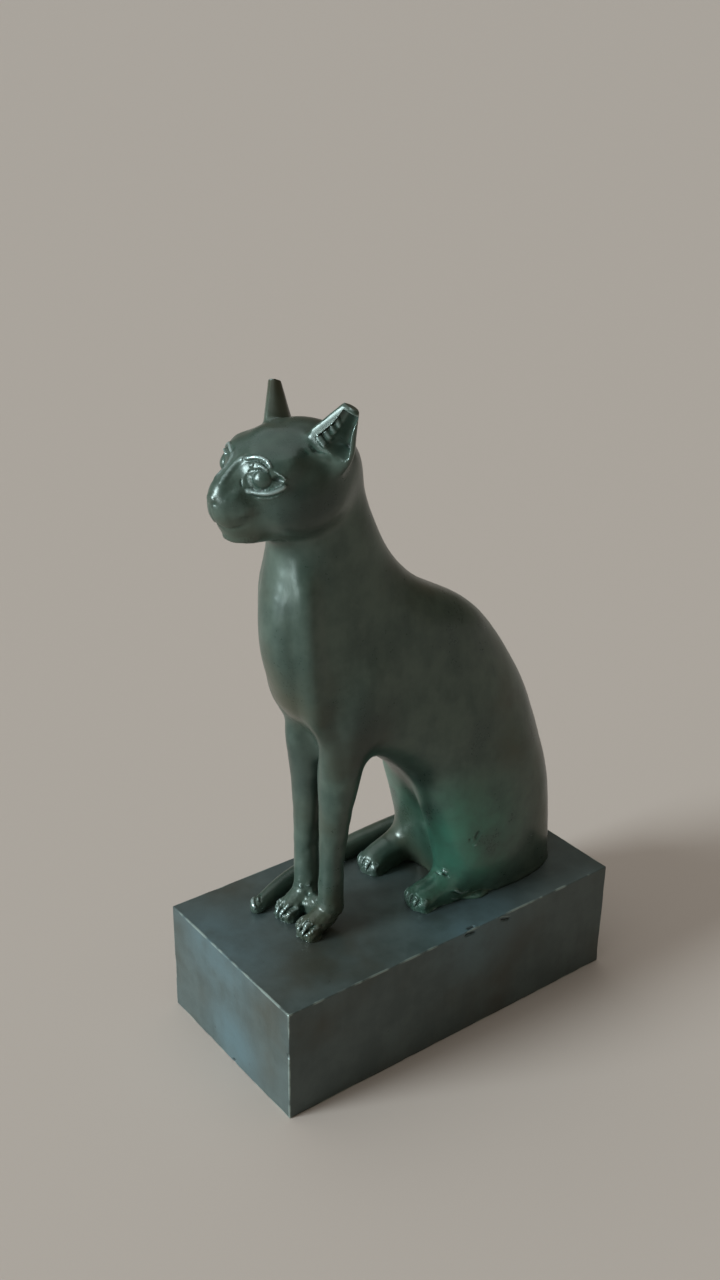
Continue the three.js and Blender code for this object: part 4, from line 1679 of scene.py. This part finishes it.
@dataclass(frozen=True)
class Lamp:
    """A soft far-off light that looks spread degrees wide."""

    name: str
    place: Point
    spread: float
    strength: float
    colour: Point

    def build(self, target: Point) -> None:
        """Adds the light.

        Args:
            target: the point that it shines on.
        """
        data = bpy.data.lights.new(self.name, "SUN")
        data.angle = math.radians(self.spread)
        data.energy = self.strength
        data.color = self.colour
        lamp = bpy.data.objects.new(self.name, data)
        bpy.context.scene.collection.objects.link(lamp)
        lamp.location = Vector(self.place) * MM
        aim = Vector(target) * MM - lamp.location
        lamp.rotation_euler = aim.to_track_quat("-Z", "Y").to_euler()


@dataclass
class Studio:
    """A plain pale floor, soft studio light and the camera."""

    target: Point = (0, -5, 75)
    floor_size: float = 60000
    lamps: tuple[Lamp, ...] = (
        Lamp("window", (-250, -1000, 400), 22, 4.0, (0.82, 0.94, 1.0)),
        Lamp("far_window", (170, -980, 60), 13, 1.0, (0.86, 0.95, 1.0)),
        Lamp("overhead", (-250, -100, 1000), 80, 1.0, (0.92, 0.97, 1.0)),
    )
    world: tuple = tint(190, 176, 152)
    world_strength: float = 0.24
    camera_place: Point = (234.81, -190.73, 239.30)
    azimuth: float = 52.75
    elevation: float = 24.98
    roll: float = 0.80
    lens: float = 40.25

    def camera(self) -> None:
        """Adds the camera where the photograph was taken from."""
        az, el, roll = (math.radians(a) for a in (self.azimuth, self.elevation, self.roll))
        back = Vector((math.sin(az) * math.cos(el), -math.cos(az) * math.cos(el), math.sin(el)))
        right = Vector((0, 0, 1)).cross(back).normalized()
        up = back.cross(right)
        across = math.cos(roll) * right + math.sin(roll) * up
        above = math.cos(roll) * up - math.sin(roll) * right
        turned = Matrix((across, above, back)).transposed().to_4x4()
        data = bpy.data.cameras.new("camera")
        data.lens = self.lens
        data.clip_start, data.clip_end = 0.01, 200
        camera = bpy.data.objects.new("camera", data)
        bpy.context.scene.collection.objects.link(camera)
        camera.matrix_world = Matrix.Translation(Vector(self.camera_place) * MM) @ turned
        bpy.context.scene.camera = camera

    def build(self) -> None:
        """Adds the floor, the light and the camera."""
        bpy.ops.object.select_all(action="DESELECT")
        bpy.ops.mesh.primitive_plane_add(size=self.floor_size * MM)
        floor = bpy.context.object
        floor.name = "floor"
        floor.data.materials.append(FloorPaint().make())
        for lamp in self.lamps:
            lamp.build(self.target)
        world = bpy.data.worlds.new("studio")
        world.use_nodes = True
        background = world.node_tree.nodes["Background"]
        background.inputs["Color"].default_value = self.world
        background.inputs["Strength"].default_value = self.world_strength
        bpy.context.scene.world = world
        bpy.context.scene.view_settings.view_transform = "Standard"
        self.camera()


def main() -> None:
    """Builds the plinth, the cat and the studio in order."""
    logging.basicConfig(level=logging.INFO, format="%(name)s: %(message)s")
    Plinth().build()
    SeatedCat().build()
    Studio().build()


if __name__ == "__main__":
    main()
